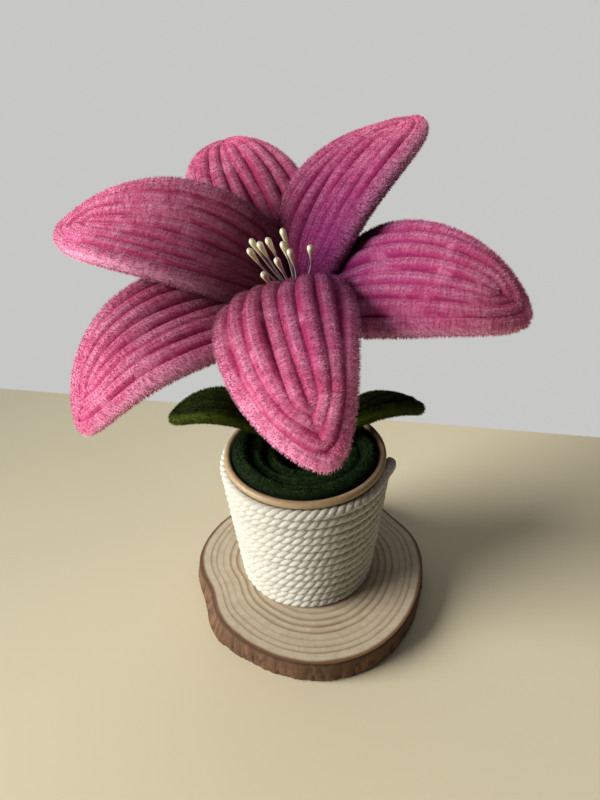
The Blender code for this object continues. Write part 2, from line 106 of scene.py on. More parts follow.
def bark_relief(angle, height):
    """Plates that stand out and the upright cracks between them, and how deep the crack is."""
    around = side_at(angle) * (SLICE_RADIUS / MM)

    def grain(size, shift_x=0.0, shift_y=0.0):
        width, length = size
        return around / width + Vector((shift_x, shift_y, height / MM / length))

    plates = noise.fractal(grain(PLATE_SIZE), 1.0, 2.0, 4)
    crack = math.exp(-(noise.noise(grain(CRACK_SIZE, 3.0, 7.0)) / CRACK_SHARPNESS) ** 2)
    fine = noise.noise(grain(FIBRE_SIZE, 9.0, 1.0))
    return PLATE_HEIGHT * (plates + 0.35 * fine) - CRACK_DEPTH * crack, crack


class Flow:
    """A value on its way through a node tree. Sums and patterns of it add the nodes they need."""

    def __init__(self, tree, socket):
        self.tree = tree
        self.socket = socket

    def maths(self, operation, *others):
        inputs = dict(enumerate((self, *others)))
        return new_flow(self.tree, "ShaderNodeMath", inputs, operation=operation)

    def __add__(self, other):
        return self.maths("ADD", other)

    def __sub__(self, other):
        return self.maths("SUBTRACT", other)

    def __mul__(self, other):
        return self.maths("MULTIPLY", other)

    def __truediv__(self, other):
        return self.maths("DIVIDE", other)

    def parts(self):
        """The three numbers of a vector or a colour."""
        node = place_node(self.tree, "ShaderNodeSeparateXYZ", {0: self})
        return [flow_from(self.tree, node, number) for number in range(3)]

    def ramp(self, *stops):
        """A colour ramp through (place, colour) stops; a number stands for a grey."""
        node = place_node(self.tree, "ShaderNodeValToRGB", {"Fac": self})
        marks = node.color_ramp.elements
        while len(marks) < len(stops):
            marks.new(0.5)
        for mark, (place, colour) in zip(marks, stops):
            mark.position = place
            mark.color = (*colour, 1.0) if isinstance(colour, tuple) else (colour,) * 3 + (1.0,)
        return flow_from(self.tree, node)

    def mix(self, first, second):
        """This share of the second colour over the first; each is a flow or a plain colour."""
        first, second = (colour if isinstance(colour, Flow) else (*colour, 1.0)
                         for colour in (first, second))
        return new_flow(self.tree, "ShaderNodeMix", {0: self, 6: first, 7: second}, 2,
                        data_type="RGBA")

    def into(self, node, name):
        self.tree.links.new(self.socket, node.inputs[name])

    def bump(self, shader, strength, distance):
        height = {"Height": self, "Strength": strength, "Distance": distance}
        new_flow(self.tree, "ShaderNodeBump", height).into(shader, "Normal")


class Arrow(Flow):
    """A place or a direction on its way through a node tree."""

    def maths(self, operation, *others, result=0):
        inputs = dict(enumerate((self, *others)))
        return new_flow(self.tree, "ShaderNodeVectorMath", inputs, result, operation=operation)

    def __mul__(self, number):
        return new_flow(self.tree, "ShaderNodeVectorMath", {0: self, "Scale": number},
                        operation="SCALE")

    def cross(self, other):
        return self.maths("CROSS_PRODUCT", other)

    def dot(self, other):
        return self.maths("DOT_PRODUCT", other, result=1)

    def unit(self):
        return self.maths("NORMALIZE")

    def length(self):
        return self.maths("LENGTH", result=1)

    def mapped(self, **change):
        return new_flow(self.tree, "ShaderNodeMapping", {"Vector": self, **change})

    def noise(self, scale, detail=2.0, roughness=0.5, result=0):
        """Soft noise; the scale is in waves to the metre where this is a place."""
        inputs = {"Vector": self, "Scale": scale, "Detail": detail, "Roughness": roughness}
        return new_flow(self.tree, "ShaderNodeTexNoise", inputs, result)


def place_node(tree, kind, inputs=None, **settings):
    """Adds a node. Its inputs are given by name or number, as flows to link or plain values."""
    node = tree.nodes.new(kind)
    for name, value in settings.items():
        setattr(node, name, value)
    for name, value in (inputs or {}).items():
        if isinstance(value, Flow):
            value.into(node, name)
        else:
            node.inputs[name].default_value = value
    return node


def flow_from(tree, node, result=0):
    """One of the node's outputs, by name or number."""
    socket = node.outputs[result]
    return (Arrow if socket.type == "VECTOR" else Flow)(tree, socket)


def new_flow(tree, kind, inputs=None, result=0, **settings):
    return flow_from(tree, place_node(tree, kind, inputs, **settings), result)


def object_place(tree):
    return new_flow(tree, "ShaderNodeTexCoord", None, "Object")


def attribute(tree, name, result="Fac"):
    return new_flow(tree, "ShaderNodeAttribute", None, result, attribute_name=name)


def start_material(name, roughness):
    """A material with one Principled shader; returns it with its tree and the shader."""
    material = bpy.data.materials.new(name)
    material.use_nodes = True
    tree = material.node_tree
    shader = tree.nodes["Principled BSDF"]
    shader.inputs["Roughness"].default_value = roughness
    return material, tree, shader


def ring_lines(share, rings):
    """Each ring darkens outwards and stops short: place, darkness and width, as shares."""
    stops = []
    for place, darkness, width in rings:
        stops += [(place - width, 0.04), (place, darkness), (place + 0.4 * width, 0.0)]
    return share.ramp(*stops)


def sanded_wood():
    """Pale end grain with uneven brown rings, fine rays and a darker line under the bark."""
    material, tree, shader = start_material("sanded_wood", 0.55)
    centred = object_place(tree).mapped(Location=-SLICE_MIDDLE)
    share = attribute(tree, "ring")
    wavy = (centred.noise(60.0, 3.0) - 0.5) * RING_WAVER + share
    dark = ring_lines(wavy, INNER_RINGS).maths("MAXIMUM", ring_lines(wavy, OUTER_RINGS))
    dark = dark * (centred.noise(90.0) * 0.8 + 0.5)
    rays = (centred.unit() * RAY_COUNT).noise(1.0, 3.0).ramp((0.45, 0.0), (0.75, 1.0))
    pale = centred.noise(260.0, 4.0, 0.6).ramp((0.3, SAPWOOD[0]), (0.7, SAPWOOD[1]))
    pale = (rays * 0.4).mix(pale, RAY_BROWN)
    warm = share.ramp((0.5, RING_BROWNS[0]), (0.7, RING_BROWNS[1]))
    edge = wavy.ramp((0.962, 0.0), (0.974, 0.5), (0.984, 1.0))
    edge.mix(dark.mix(pale, warm), UNDER_BARK_BROWN).into(shader, "Base Color")
    (dark * -0.6 + centred.noise(900.0, 3.0)).bump(shader, 0.25, 0.15 * MM)
    return material


def rough_bark():
    """Reddish brown bark, darker in its cracks and along its upper edge, with upright fibres."""
    material, tree, shader = start_material("rough_bark", 0.85)
    place = object_place(tree)
    fibres = place.mapped(Scale=(1.0, 1.0, 0.28)).noise(520.0, 5.0, 0.65)
    colour = fibres.ramp(*zip((0.25, 0.5, 0.78), BARK_BROWNS))
    weathered = place.noise(38.0).ramp((0.42, 0.0), (0.62, 0.55))
    brink = (place.parts()[2] / SLICE_THICKNESS).ramp((0.88, 0.0), (0.96, 0.8))
    for share, brown in ((place.noise(110.0, 3.0) * 0.5, BARK_PATCH), (weathered, WEATHERED_BARK),
                         (brink, BARK_BRINK), (attribute(tree, "crack") * 0.8, CRACK_BROWN)):
        colour = share.mix(colour, brown)
    colour.into(shader, "Base Color")
    fibres.bump(shader, 0.5, 0.35 * MM)
    return material


def add_object(name, data):
    added = bpy.data.objects.new(name, data)
    bpy.context.scene.collection.objects.link(added)
    return added


def mesh_object(name, points, edges, faces, attributes):
    """A mesh object that keeps numbers or directions at its points."""
    mesh = bpy.data.meshes.new(name)
    mesh.from_pydata(points, edges, faces)
    for label, values in attributes.items():
        kind, field = ("FLOAT", "value") if np.ndim(values) == 1 else ("FLOAT_VECTOR", "vector")
        mesh.attributes.new(label, kind, "POINT").data.foreach_set(field, np.ravel(values))
    return add_object(name, mesh)


def mesh_piece(name, points, faces, attributes=None, smooth_angle=180):
    """A mesh object that is smooth up to an angle in degrees."""
    piece = mesh_object(name, points, [], faces, attributes or {})
    piece.data.shade_smooth()
    piece.data.set_sharp_from_angle(angle=math.radians(smooth_angle))
    return piece


def rings_to_faces(rings, sides):
    """Faces of a closed form: a point, then rings of points, then a point."""
    faces = []
    last = 1 + rings * sides
    for i in range(sides):
        j = (i + 1) % sides
        faces.append((0, 1 + j, 1 + i))
        for r in range(rings - 1):
            low = 1 + r * sides
            faces.append((low + i, low + j, low + sides + j, low + sides + i))
        faces.append((last - sides + i, last - sides + j, last))
    return faces


def bark_level(height):
    """How far the bark stands out, and its share of the flare, at a height above the table."""
    heights, outsets, flares = zip(*BARK_LEVELS)
    outset = np.interp(height / MM, heights, outsets)
    return float(outset) * MM, float(np.interp(height / MM, heights, flares))


def slice_rings():
    """Out over the underside, up the bark and in over the sanded face. Each ring is its height,
    its share of the way out, its outset, its share of the flare and that of the bark's relief."""
    under_flare = bark_level(0.0)[1]
    rings = [(0.0, share, 0.0, under_flare, 0.0) for share in UNDER_SHARES]
    for step in range(BARK_STEPS + 1):
        height = SLICE_THICKNESS * step / BARK_STEPS
        fade = min(1.0, 0.25 + 1.2 * (1 - step / BARK_STEPS))
        rings.append((height, 1.0, *bark_level(height), fade))
    return rings + [(SLICE_THICKNESS, share, -FACE_INSET, 0.0, 0.0) for share in FACE_SHARES]


def make_slice():
    points = [SLICE_MIDDLE.copy()]
    shares = [0.0]
    cracks = [0.0]
    rings = slice_rings()
    for height, share, outset, flare, relief_share in rings:
        for i in range(SLICE_SIDES):
            angle = math.tau * i / SLICE_SIDES
            relief, crack = bark_relief(angle, height)
            radius = share * (slice_outline(angle, flare) + outset) + relief * relief_share
            points.append(SLICE_MIDDLE + side_at(angle) * radius + Vector((0, 0, height)))
            shares.append(share)
            cracks.append(crack * relief_share)
    points.append(SLICE_MIDDLE + Vector((0, 0, SLICE_THICKNESS)))
    shares.append(0.0)
    cracks.append(0.0)
    piece = mesh_piece("slice_of_wood", points, rings_to_faces(len(rings), SLICE_SIDES),
                       {"ring": shares, "crack": cracks}, 50)
    piece.data.materials.append(sanded_wood())
    piece.data.materials.append(rough_bark())
    for face in piece.data.polygons:
        out = np.mean([shares[v] for v in face.vertices])
        face.material_index = 1 if out > 0.5 * (1.0 + FACE_SHARES[0]) else 0
    return piece


wood = make_slice()
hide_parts("wood_slice")
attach(wood, "root")

# Paper cup. A small tapered cup of kraft paper, closed by a glued seam at the back, with its
# rim rolled outwards. Only the roll and the inside of the wall show above the rope.
CUP_FLOOR = 11.3 * MM
CUP_HEIGHT = 57.4 * MM
CUP_RIM_TOP = CUP_FLOOR + CUP_HEIGHT
CUP_BASE_RADIUS = 22.9 * MM
CUP_TOP_RADIUS = 28.3 * MM
CUP_WALL = 0.8 * MM
CUP_BASE_THICKNESS = 1.0 * MM
RIM_ROLL_RADIUS = 1.4 * MM
RIM_ROLL_OUTSET = 0.45 * MM
RIM_ROLL_STEPS = 12
CUP_SIDES = 144
SEAM_ANGLE = math.radians(118)
SEAM_STEP = 0.22 * MM
SEAM_FADE = 0.35
KRAFT_TANS = ((0.33, 0.225, 0.115), (0.48, 0.345, 0.19))
KRAFT_BLOTCH = (0.34, 0.24, 0.13)


def cup_outer_radius(height):
    """Outer radius of the cup's wall at a height above the table."""
    share = (height - CUP_FLOOR) / CUP_HEIGHT
    return CUP_BASE_RADIUS + (CUP_TOP_RADIUS - CUP_BASE_RADIUS) * share


def kraft_paper():
    """Tan paper with short fibres drawn out round the rim, and a slight polish."""
    material, tree, shader = start_material("kraft_paper", 0.42)
    place = object_place(tree)
    fibres = place.mapped(Scale=(0.35, 0.35, 1.6)).noise(1500.0, 4.0, 0.6)
    colour = fibres.ramp((0.3, KRAFT_TANS[0]), (0.7, KRAFT_TANS[1]))
    (place.noise(160.0, 3.0) * 0.35).mix(colour, KRAFT_BLOTCH).into(shader, "Base Color")
    fibres.ramp((0.3, 0.50), (0.7, 0.36)).into(shader, "Roughness")
    fibres.bump(shader, 0.2, 0.1 * MM)
    return material


def cup_profile(under_rim, inner_floor):
    """Radius and height from the floor up the inner wall, over the roll and down outside."""
    profile = [(cup_outer_radius(inner_floor) - CUP_WALL, inner_floor)]
    for share in (0.35, 0.7, 1.0):
        height = inner_floor + (under_rim - inner_floor) * share
        profile.append((cup_outer_radius(height) - CUP_WALL, height))
    for step in range(RIM_ROLL_STEPS + 1):
        angle = math.radians(180 - 270 * step / RIM_ROLL_STEPS)
        profile.append((CUP_TOP_RADIUS + RIM_ROLL_OUTSET + RIM_ROLL_RADIUS * math.cos(angle),
                        CUP_RIM_TOP - RIM_ROLL_RADIUS + RIM_ROLL_RADIUS * math.sin(angle)))
    for share in (1.0, 0.5, 0.0):
        height = CUP_FLOOR + (under_rim - CUP_FLOOR) * share
        profile.append((cup_outer_radius(height), height))
    return profile


def make_cup():
    """The profile turned round the middle, with a small step in the roll at the seam."""
    under_rim = CUP_RIM_TOP - 2.1 * RIM_ROLL_RADIUS
    inner_floor = CUP_FLOOR + CUP_BASE_THICKNESS
    profile = cup_profile(under_rim, inner_floor)
    points = [Vector((0, 0, inner_floor))]
    for radius, height in profile:
        for i in range(CUP_SIDES):
            angle = math.tau * i / CUP_SIDES
            past = (angle - SEAM_ANGLE) % math.tau
            step = SEAM_STEP * max(0.0, 1 - past / SEAM_FADE) if height > under_rim else 0.0
            points.append(side_at(angle) * (radius + step) + Vector((0, 0, height)))
    points.append(Vector((0, 0, CUP_FLOOR)))
    piece = mesh_piece("cup_of_kraft_paper", points, rings_to_faces(len(profile), CUP_SIDES),
                       None, 55)
    piece.data.materials.append(kraft_paper())
    return piece


cup = make_cup()
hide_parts("paper_cup")
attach(cup, "root")

# Rope. Soft off-white cotton in three strands, glued to the cup in level turns from under
# the rim down to the wood. Its loose end lies over the first turn at the right.
ROPE_RADIUS = 1.95 * MM
ROPE_PITCH = 4.3 * MM
ROPE_GAP = 0.3 * MM
ROPE_START_ANGLE = math.radians(5.0)
ROPE_STEP_SHARE = 0.4
ROPE_STEPS_PER_TURN = 90
# A winding is cut a little before its last turn would move on, by this many of such moves
CUT_BEFORE_STEP = 1.2
ROPE_SLACK = 0.12
ROPE_END_LIFT = 2.6 * MM
ROPE_END_DROP = 4.6 * MM
ROPE_END_SPAN = math.radians(30)
YARNS_PER_STRAND = 7
YARN_LAY = 5.0 * MM
COTTON_WHITES = ((0.50, 0.47, 0.385), (0.66, 0.65, 0.575))
COTTON_SHADOW = (0.60, 0.56, 0.46)


def eased(share):
    """Starts and ends gently, from 0 to 1."""
    return share * share * (3 - 2 * share)


def level_turns(first, last, pitch, step_share, steps_per_turn, tucked=0):
    """The number and place of each point. A turn moves on to the next over the last share of it
    only. Tucked points come before the first turn and stay at its place."""
    rows = round(abs(last - first) / pitch)
    turns = rows + 1 - CUT_BEFORE_STEP * step_share
    for i in range(-tucked, round(turns * steps_per_turn) + 1):
        turned = max(0, i) / steps_per_turn
        whole = math.floor(turned)
        moved = eased(max(0.0, (turned - whole - (1 - step_share)) / step_share))
        yield i, first + (last - first) * (whole + moved) / rows


def rope_path():
    """Points down the wrapped rope, each with the direction away from the cup."""
    top = CUP_RIM_TOP - 2 * RIM_ROLL_RADIUS - ROPE_GAP - ROPE_RADIUS
    bottom = SLICE_THICKNESS + ROPE_GAP + ROPE_RADIUS
    points = []
    outward = []
    for i, height in level_turns(top, bottom, ROPE_PITCH, ROPE_STEP_SHARE, ROPE_STEPS_PER_TURN):
        turned = math.tau * (i / ROPE_STEPS_PER_TURN)
        angle = ROPE_START_ANGLE - turned
        loose = max(0.0, 1 - turned / ROPE_END_SPAN)
        slack = ROPE_SLACK * math.sin(3 * angle + 1.7 * height / ROPE_PITCH) * MM
        radius = cup_outer_radius(height) + ROPE_GAP + ROPE_RADIUS
        radius += ROPE_END_LIFT * eased(loose)
        height -= ROPE_END_DROP * loose * loose
        points.append(side_at(angle) * radius + Vector((0, 0, height + slack)))
        outward.append(side_at(angle))
    return points, outward


def wire_object(name, runs):
    """Loose runs of edges. Each run is its points, the way it faces, its reach, which goes from
    0 at the foot to 1 at the tip, and 1.0 if it has no neighbour on its outer side."""
    points = []
    edges = []
    kept = {"facing": [], "reach": [], "rim": []}
    for run_points, facing, reach, rim in runs:
        first = len(points)
        count = len(run_points)
        points.extend(tuple(point) for point in run_points)
        edges.extend((first + i, first + i + 1) for i in range(count - 1))
        kept["facing"].append(np.broadcast_to(np.array(facing, float), (count, 3)))
        kept["reach"].append(np.broadcast_to(np.array(reach, float), count))
        kept["rim"].append(np.full(count, rim))
    attributes = {label: np.concatenate(rows) for label, rows in kept.items()}
    return mesh_object(name, points, edges, [], attributes)


def start_group(name, kind, given, label, made):
    """A node group with these named inputs and one output; returns it with its inputs."""
    tree = bpy.data.node_groups.new(name, kind)
    for title, socket in given.items():
        tree.interface.new_socket(title, in_out="INPUT", socket_type="NodeSocket" + socket)
    tree.interface.new_socket(label, in_out="OUTPUT", socket_type="NodeSocket" + made)
    source = tree.nodes.new("NodeGroupInput")
    return tree, {title: flow_from(tree, source, title) for title in given}


def start_tree(name, sizes):
    """A Geometry Nodes tree with one named input for each size."""
    return start_group(name, "GeometryNodeTree", {"Geometry": "Geometry", **sizes},
                       "Geometry", "Geometry")


def shape(tree, kind, inputs=None, result=0, **settings):
    """A new Geometry Nodes node's result."""
    return new_flow(tree, "GeometryNode" + kind, inputs, result, **settings)


def end_tree(tree, geometry, material):
    """Every tree ends in plain geometry with its material on it."""
    real = shape(tree, "RealizeInstances", {"Geometry": geometry})
    done = shape(tree, "SetMaterial", {"Geometry": real, "Material": material})
    done.into(tree.nodes.new("NodeGroupOutput"), 0)


def value_kind(value):
    return "FLOAT_VECTOR" if isinstance(value, Arrow) else "FLOAT"


def store(geometry, name, value, domain="POINT"):
    return shape(geometry.tree, "StoreNamedAttribute",
                 {"Geometry": geometry, "Name": name, "Value": value},
                 data_type=value_kind(value), domain=domain)


def stored(tree, name, kind="FLOAT"):
    return shape(tree, "InputNamedAttribute", {"Name": name}, "Attribute", data_type=kind)


def even_wire(tree, given):
    """The piece's edges as curves with a point at every step."""
    wire = shape(tree, "MeshToCurve", {"Mesh": given["Geometry"]})
    return shape(tree, "ResampleCurve", {"Curve": wire, "Length": given["Step"]}, mode="LENGTH")


def tube_along(tree, wire, profile, **scale):
    """A closed tube with this profile."""
    inputs = {"Curve": wire, "Profile Curve": profile, "Fill Caps": True, **scale}
    return shape(tree, "CurveToMesh", inputs)


def made_by(tree, piece, values):
    """Runs the tree on the piece with these sizes and keeps the result as its plain mesh."""
    change = piece.modifiers.new(tree.name, "NODES")
    change.node_group = tree
    for item in tree.interface.items_tree:
        if item.in_out == "INPUT" and item.name in values:
            change[item.identifier] = values[item.name]
    bpy.context.view_layer.update()
    settled = piece.evaluated_get(bpy.context.evaluated_depsgraph_get())
    mesh = bpy.data.meshes.new_from_object(settled)
    piece.modifiers.remove(change)
    piece.data = mesh
    return piece


def rope_tree():
    """Three strands laid round one path, each a tube that keeps its length and its turn."""
    tree, given = start_tree("laid_rope", {
        "Step": "Float", "Strands": "Int", "Strand Radius": "Float", "Strand Offset": "Float",
        "Lay Length": "Float", "Sides": "Int", "Material": "Material"})
    copies = place_node(tree, "GeometryNodeDuplicateElements",
                        {"Geometry": even_wire(tree, given), "Amount": given["Strands"]},
                        domain="SPLINE")
    along = shape(tree, "SplineParameter", None, "Length")
    tangent = shape(tree, "InputTangent")
    side = tangent.cross(stored(tree, "facing", "FLOAT_VECTOR")).unit()
    front = side.cross(tangent)
    strand = flow_from(tree, copies, "Duplicate Index") / given["Strands"]
    angle = (strand - along / given["Lay Length"]) * math.tau
    offset = front * angle.maths("COSINE") + side * angle.maths("SINE")
    strands = shape(tree, "SetPosition", {"Geometry": flow_from(tree, copies, "Geometry"),
                                          "Offset": offset * given["Strand Offset"]})
    ring = shape(tree, "CurvePrimitiveCircle",
                 {"Resolution": given["Sides"], "Radius": given["Strand Radius"]})
    ring = store(ring, "around", shape(tree, "SplineParameter", None, "Factor"))
    tube = tube_along(tree, store(strands, "along", along), ring)
    end_tree(tree, shape(tree, "SetShadeSmooth", {"Geometry": tube}), given["Material"])
    return tree


def soft_cotton():
    """Off-white cotton: fine yarns that turn along each strand, and a soft bloom."""
    material, tree, shader = start_material("soft_cotton", 0.9)
    place = object_place(tree)
    turned = attribute(tree, "along") * (-1 / YARN_LAY) + attribute(tree, "around")
    yarns = (turned * (math.tau * YARNS_PER_STRAND)).maths("SINE")
    height = yarns * 0.3 + place.noise(1700.0, 3.0, 0.6)
    colour = height.ramp((0.15, COTTON_WHITES[0]), (0.75, COTTON_WHITES[1]))
    (place.noise(190.0) * 0.3).mix(colour, COTTON_SHADOW).into(shader, "Base Color")
    shader.inputs["Sheen Weight"].default_value = 0.25
    shader.inputs["Sheen Roughness"].default_value = 0.6
    height.bump(shader, 0.5, 0.25 * MM)
    return material


rope = wire_object("rope_of_cotton", [(*rope_path(), 0.0, 0.0)])
made_by(rope_tree(), rope, {
    "Step": 1.15 * MM, "Strands": 3, "Strand Radius": 1.22 * MM, "Strand Offset": 0.82 * MM,
    "Lay Length": 9.5 * MM, "Sides": 7, "Material": soft_cotton()})
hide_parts("rope_wrap")
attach(rope, "root")

# Foam plug. A block of dark green floral foam pressed into the cup. It holds the stem and
# the feet of the leaves, and shows only between the coil and the stem.
FOAM_GREENS = ((0.008, 0.014, 0.004), (0.035, 0.065, 0.018))


def floral_foam():
    """Dark green foam with open pores."""
    material, tree, shader = start_material("floral_foam", 0.95)
    pores = new_flow(tree, "ShaderNodeTexVoronoi", {"Vector": object_place(tree), "Scale": 1300.0},
                     "Distance")
    pores.ramp((0.1, FOAM_GREENS[0]), (0.6, FOAM_GREENS[1])).into(shader, "Base Color")
    pores.bump(shader, 0.8, 0.4 * MM)
    return material


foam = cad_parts["foam_plug"]
foam.data.materials.clear()
foam.data.materials.append(floral_foam())

# Coil of green chenille. One long chenille stem wound flat in the mouth of the cup, from the
# wall inwards, to hide the foam. Chenille is cut pile held between two twisted wires, so each
# length is a soft tube of fibres that stand away from the wire.
COIL_RADIUS = 2.8 * MM
COIL_PITCH = 5.9 * MM
COIL_INNER_PATH = 12.8 * MM
COIL_WALL_GAP = 0.2 * MM
COIL_OUTER_HEIGHT = 67.5 * MM
COIL_INNER_HEIGHT = 64.0 * MM
COIL_STEPS_PER_TURN = 60
COIL_START_ANGLE = math.radians(80.0)
COIL_STEP_SHARE = 0.3
COIL_TUCK_DEPTH = 4.5 * MM
COIL_SAG = 0.35
FIBRE_SHARE = 1.0
PILE_ROOT_DEPTH = 0.2 * MM
PILE_WAVE_LENGTH = 5.0 * MM
# How long the pile stands down between two ribs, as a share of its length on their crowns
GROOVE_PILE = 0.45
SHORTEST_FIBRE = 0.8
LONGEST_FIBRE = 1.15
TUFT_GIRTH = 0.4
TUFT_UNEVENNESS = 0.3
FIBRE_TWIST = 0.3
STRAY_ALONG = 1.2
STRAY_ROUND = 3.2
STRAIGHTER_FRINGE = -0.6
COMBED_SHADING = 0.35
STRAY_SHADING = 0.1


def chenille_tree():
    """A soft tube along each wire and the cut fibres that stand out of it in small tufts."""
    tree, given = start_tree("chenille", {
        "Step": "Float", "Sides": "Int", "Body Radius": "Float", "Pile Radius": "Float",
        "Spread": "Float", "Fibres": "Int", "Fibre Width": "Float", "Fringe Length": "Float",
        "Tuft Length": "Float", "Lean": "Float", "Crowding": "Float", "Flatness": "Float",
        "Seed": "Int", "Material": "Material"})
    facing = stored(tree, "facing", "FLOAT_VECTOR")
    spot = shape(tree, "InputPosition")
    wire = store(even_wire(tree, given), "along", shape(tree, "SplineParameter", None, "Length"))
    wire = store(wire, "wire_place", spot)
    wire = store(wire, "wire_side", shape(tree, "InputTangent").cross(facing).unit())

    def joined_up(x, y, z):
        return new_flow(tree, "ShaderNodeCombineXYZ", {0: x, 1: y, 2: z})

    def tuft_place(lengthwise, cosine, sine):
        """Tufts are short along the wire and wide round it."""
        return joined_up(lengthwise / given["Tuft Length"], cosine * TUFT_GIRTH + given["Seed"],
                         sine * TUFT_GIRTH)

    def openness(cosine, sine, rim):
        """1 on the crown of a rib and on the outer side of the rim, 0 down between two ribs."""
        return cosine.maths("ABSOLUTE").maths("MAXIMUM", (sine * 4.0).maths("MINIMUM", rim))

    def fringe_of(sine, rim):
        """1 on the outer side of the outermost run, 0 elsewhere."""
        return rim * sine.maths("MAXIMUM", 0.0)

    ring = shape(tree, "CurvePrimitiveCircle",
                 {"Resolution": given["Sides"], "Radius": given["Body Radius"]})
    side = stored(tree, "wire_side", "FLOAT_VECTOR")
    away = spot - stored(tree, "wire_place", "FLOAT_VECTOR")
    sideways = away.dot(side)
    crown = away.dot(facing) / given["Body Radius"]
    flank = sideways / given["Body Radius"]
    rim = stored(tree, "rim")
    body = tube_along(tree, wire, ring)
    body = store(body, "pile_place", tuft_place(stored(tree, "along"), crown, flank))
    body = store(body, "crown", openness(crown, flank, rim))
    body = store(body, "fringe", fringe_of(flank, rim))
    wider = side * (sideways * (given["Spread"] - 1.0))
    body = shape(tree, "SetPosition", {"Geometry": body, "Offset": wider})
    body = shape(tree, "SetShadeSmooth", {"Geometry": body})
    flatter = shape(tree, "InputNormal") + facing * given["Flatness"]
    body = store(body, "pile_normal", flatter.unit())
    body = store(store(body, "tip", 0.6), "tone", 0.5)

    def chance(number, low=0.0, high=1.0):
        """Each fibre's own random number; every use has a seed of its own."""
        return new_flow(tree, "FunctionNodeRandomValue",
                        {2: low, 3: high, "ID": shape(tree, "InputIndex"),
                         "Seed": given["Seed"] + number}, 1, data_type="FLOAT")

    def sampled(value, *results):
        """What the wire has at each fibre's random place along it."""
        node = place_node(tree, "GeometryNodeSampleCurve",
                          {"Curves": wire, "Value": value, "Factor": chance(1)},
                          mode="FACTOR", use_all_curves=True, data_type=value_kind(value))
        return [flow_from(tree, node, result) for result in results]

    middle, tangent, facing_here = sampled(facing, "Position", "Tangent", "Value")
    lengthwise, reach, rim = (sampled(stored(tree, name), "Value")[0]
                              for name in ("along", "reach", "rim"))
    tangent = tangent.unit()
    side = tangent.cross(facing_here).unit()
    front = side.cross(tangent)
    spun = chance(2, 0.0, math.tau)
    angle = spun - (spun * 2.0).maths("SINE") * given["Crowding"]
    cosine = angle.maths("COSINE")
    sine = angle.maths("SINE")
    oval = front * cosine + side * (sine * given["Spread"])
    radial = (front * cosine + side * (sine / given["Spread"])).unit()
    around = tangent.cross(radial)
    pile_place = tuft_place(lengthwise, cosine, sine)
    tuft = pile_place.noise(1.0, 1.0, result="Color").parts()
    wave = (middle * (1 / PILE_WAVE_LENGTH)).noise(1.0, 1.0)
    fringe = fringe_of(sine, rim)

    def swing(value, size):
        return (value - 0.5) * size

    def leant(along, round_wire):
        return tangent * along + around * round_wire

    combed = leant(swing(tuft[0], 2.0) * given["Lean"], swing(wave, 2.0) * given["Lean"])
    stray = leant(swing(chance(3), STRAY_ALONG), swing(chance(4), STRAY_ROUND))
    stray = stray * (fringe * STRAIGHTER_FRINGE + 1.0)
    leaning = radial + (combed + stray)
    direction = leaning.unit()
    root_radius = given["Body Radius"] - PILE_ROOT_DEPTH
    pile = (given["Pile Radius"] - root_radius) * (swing(tuft[2], TUFT_UNEVENNESS) + 1.0)
    crown = openness(cosine, sine, rim)
    upstanding = crown * (1.0 - GROOVE_PILE) + GROOVE_PILE
    length = pile * (chance(5, SHORTEST_FIBRE, LONGEST_FIBRE) * upstanding)
    length = length * leaning.length().maths("SQRT")
    length = fringe * given["Fringe Length"] + length

    blade = shape(tree, "MeshCircle", {"Vertices": 3, "Radius": 2 / 3}, fill_type="NGON")
    blade = shape(tree, "Transform", {"Geometry": blade, "Translation": (1 / 3, 0.0, 0.0)})
    blade = store(blade, "tip", spot.parts()[0])
    across = radial.cross(direction) + leant(swing(chance(6), FIBRE_TWIST),
                                             swing(chance(7), FIBRE_TWIST))
    outer_side = direction.cross(across).dot(radial).maths("SIGN")
    rotation = new_flow(tree, "FunctionNodeAxesToRotation",
                        {"Primary Axis": direction, "Secondary Axis": across * outer_side},
                        primary_axis="X", secondary_axis="Y")
    roots = shape(tree, "Points",
                  {"Count": given["Fibres"], "Position": middle + oval * root_radius})
    fibres = shape(tree, "InstanceOnPoints",
                   {"Points": roots, "Instance": blade, "Rotation": rotation,
                    "Scale": joined_up(length, given["Fibre Width"], 1.0)})
    soft_normal = (radial + combed * COMBED_SHADING + front * given["Flatness"]
                   + stray * STRAY_SHADING).unit()
    for name, value in (("pile_normal", soft_normal), ("pile_place", pile_place),
                        ("tone", chance(8)), ("reach", reach), ("crown", crown),
                        ("fringe", fringe)):
        fibres = store(fibres, name, value, "INSTANCE")
    joined = tree.nodes.new("GeometryNodeJoinGeometry")
    body.into(joined, 0)
    fibres.into(joined, 0)
    whole = shape(tree, "RealizeInstances", {"Geometry": flow_from(tree, joined)})
    turned = shape(tree, "SetMeshNormal",
                   {"Mesh": whole, "Custom Normal": stored(tree, "pile_normal", "FLOAT_VECTOR")},
                   mode="FREE", domain="POINT")
    end_tree(tree, turned, given["Material"])
    return tree


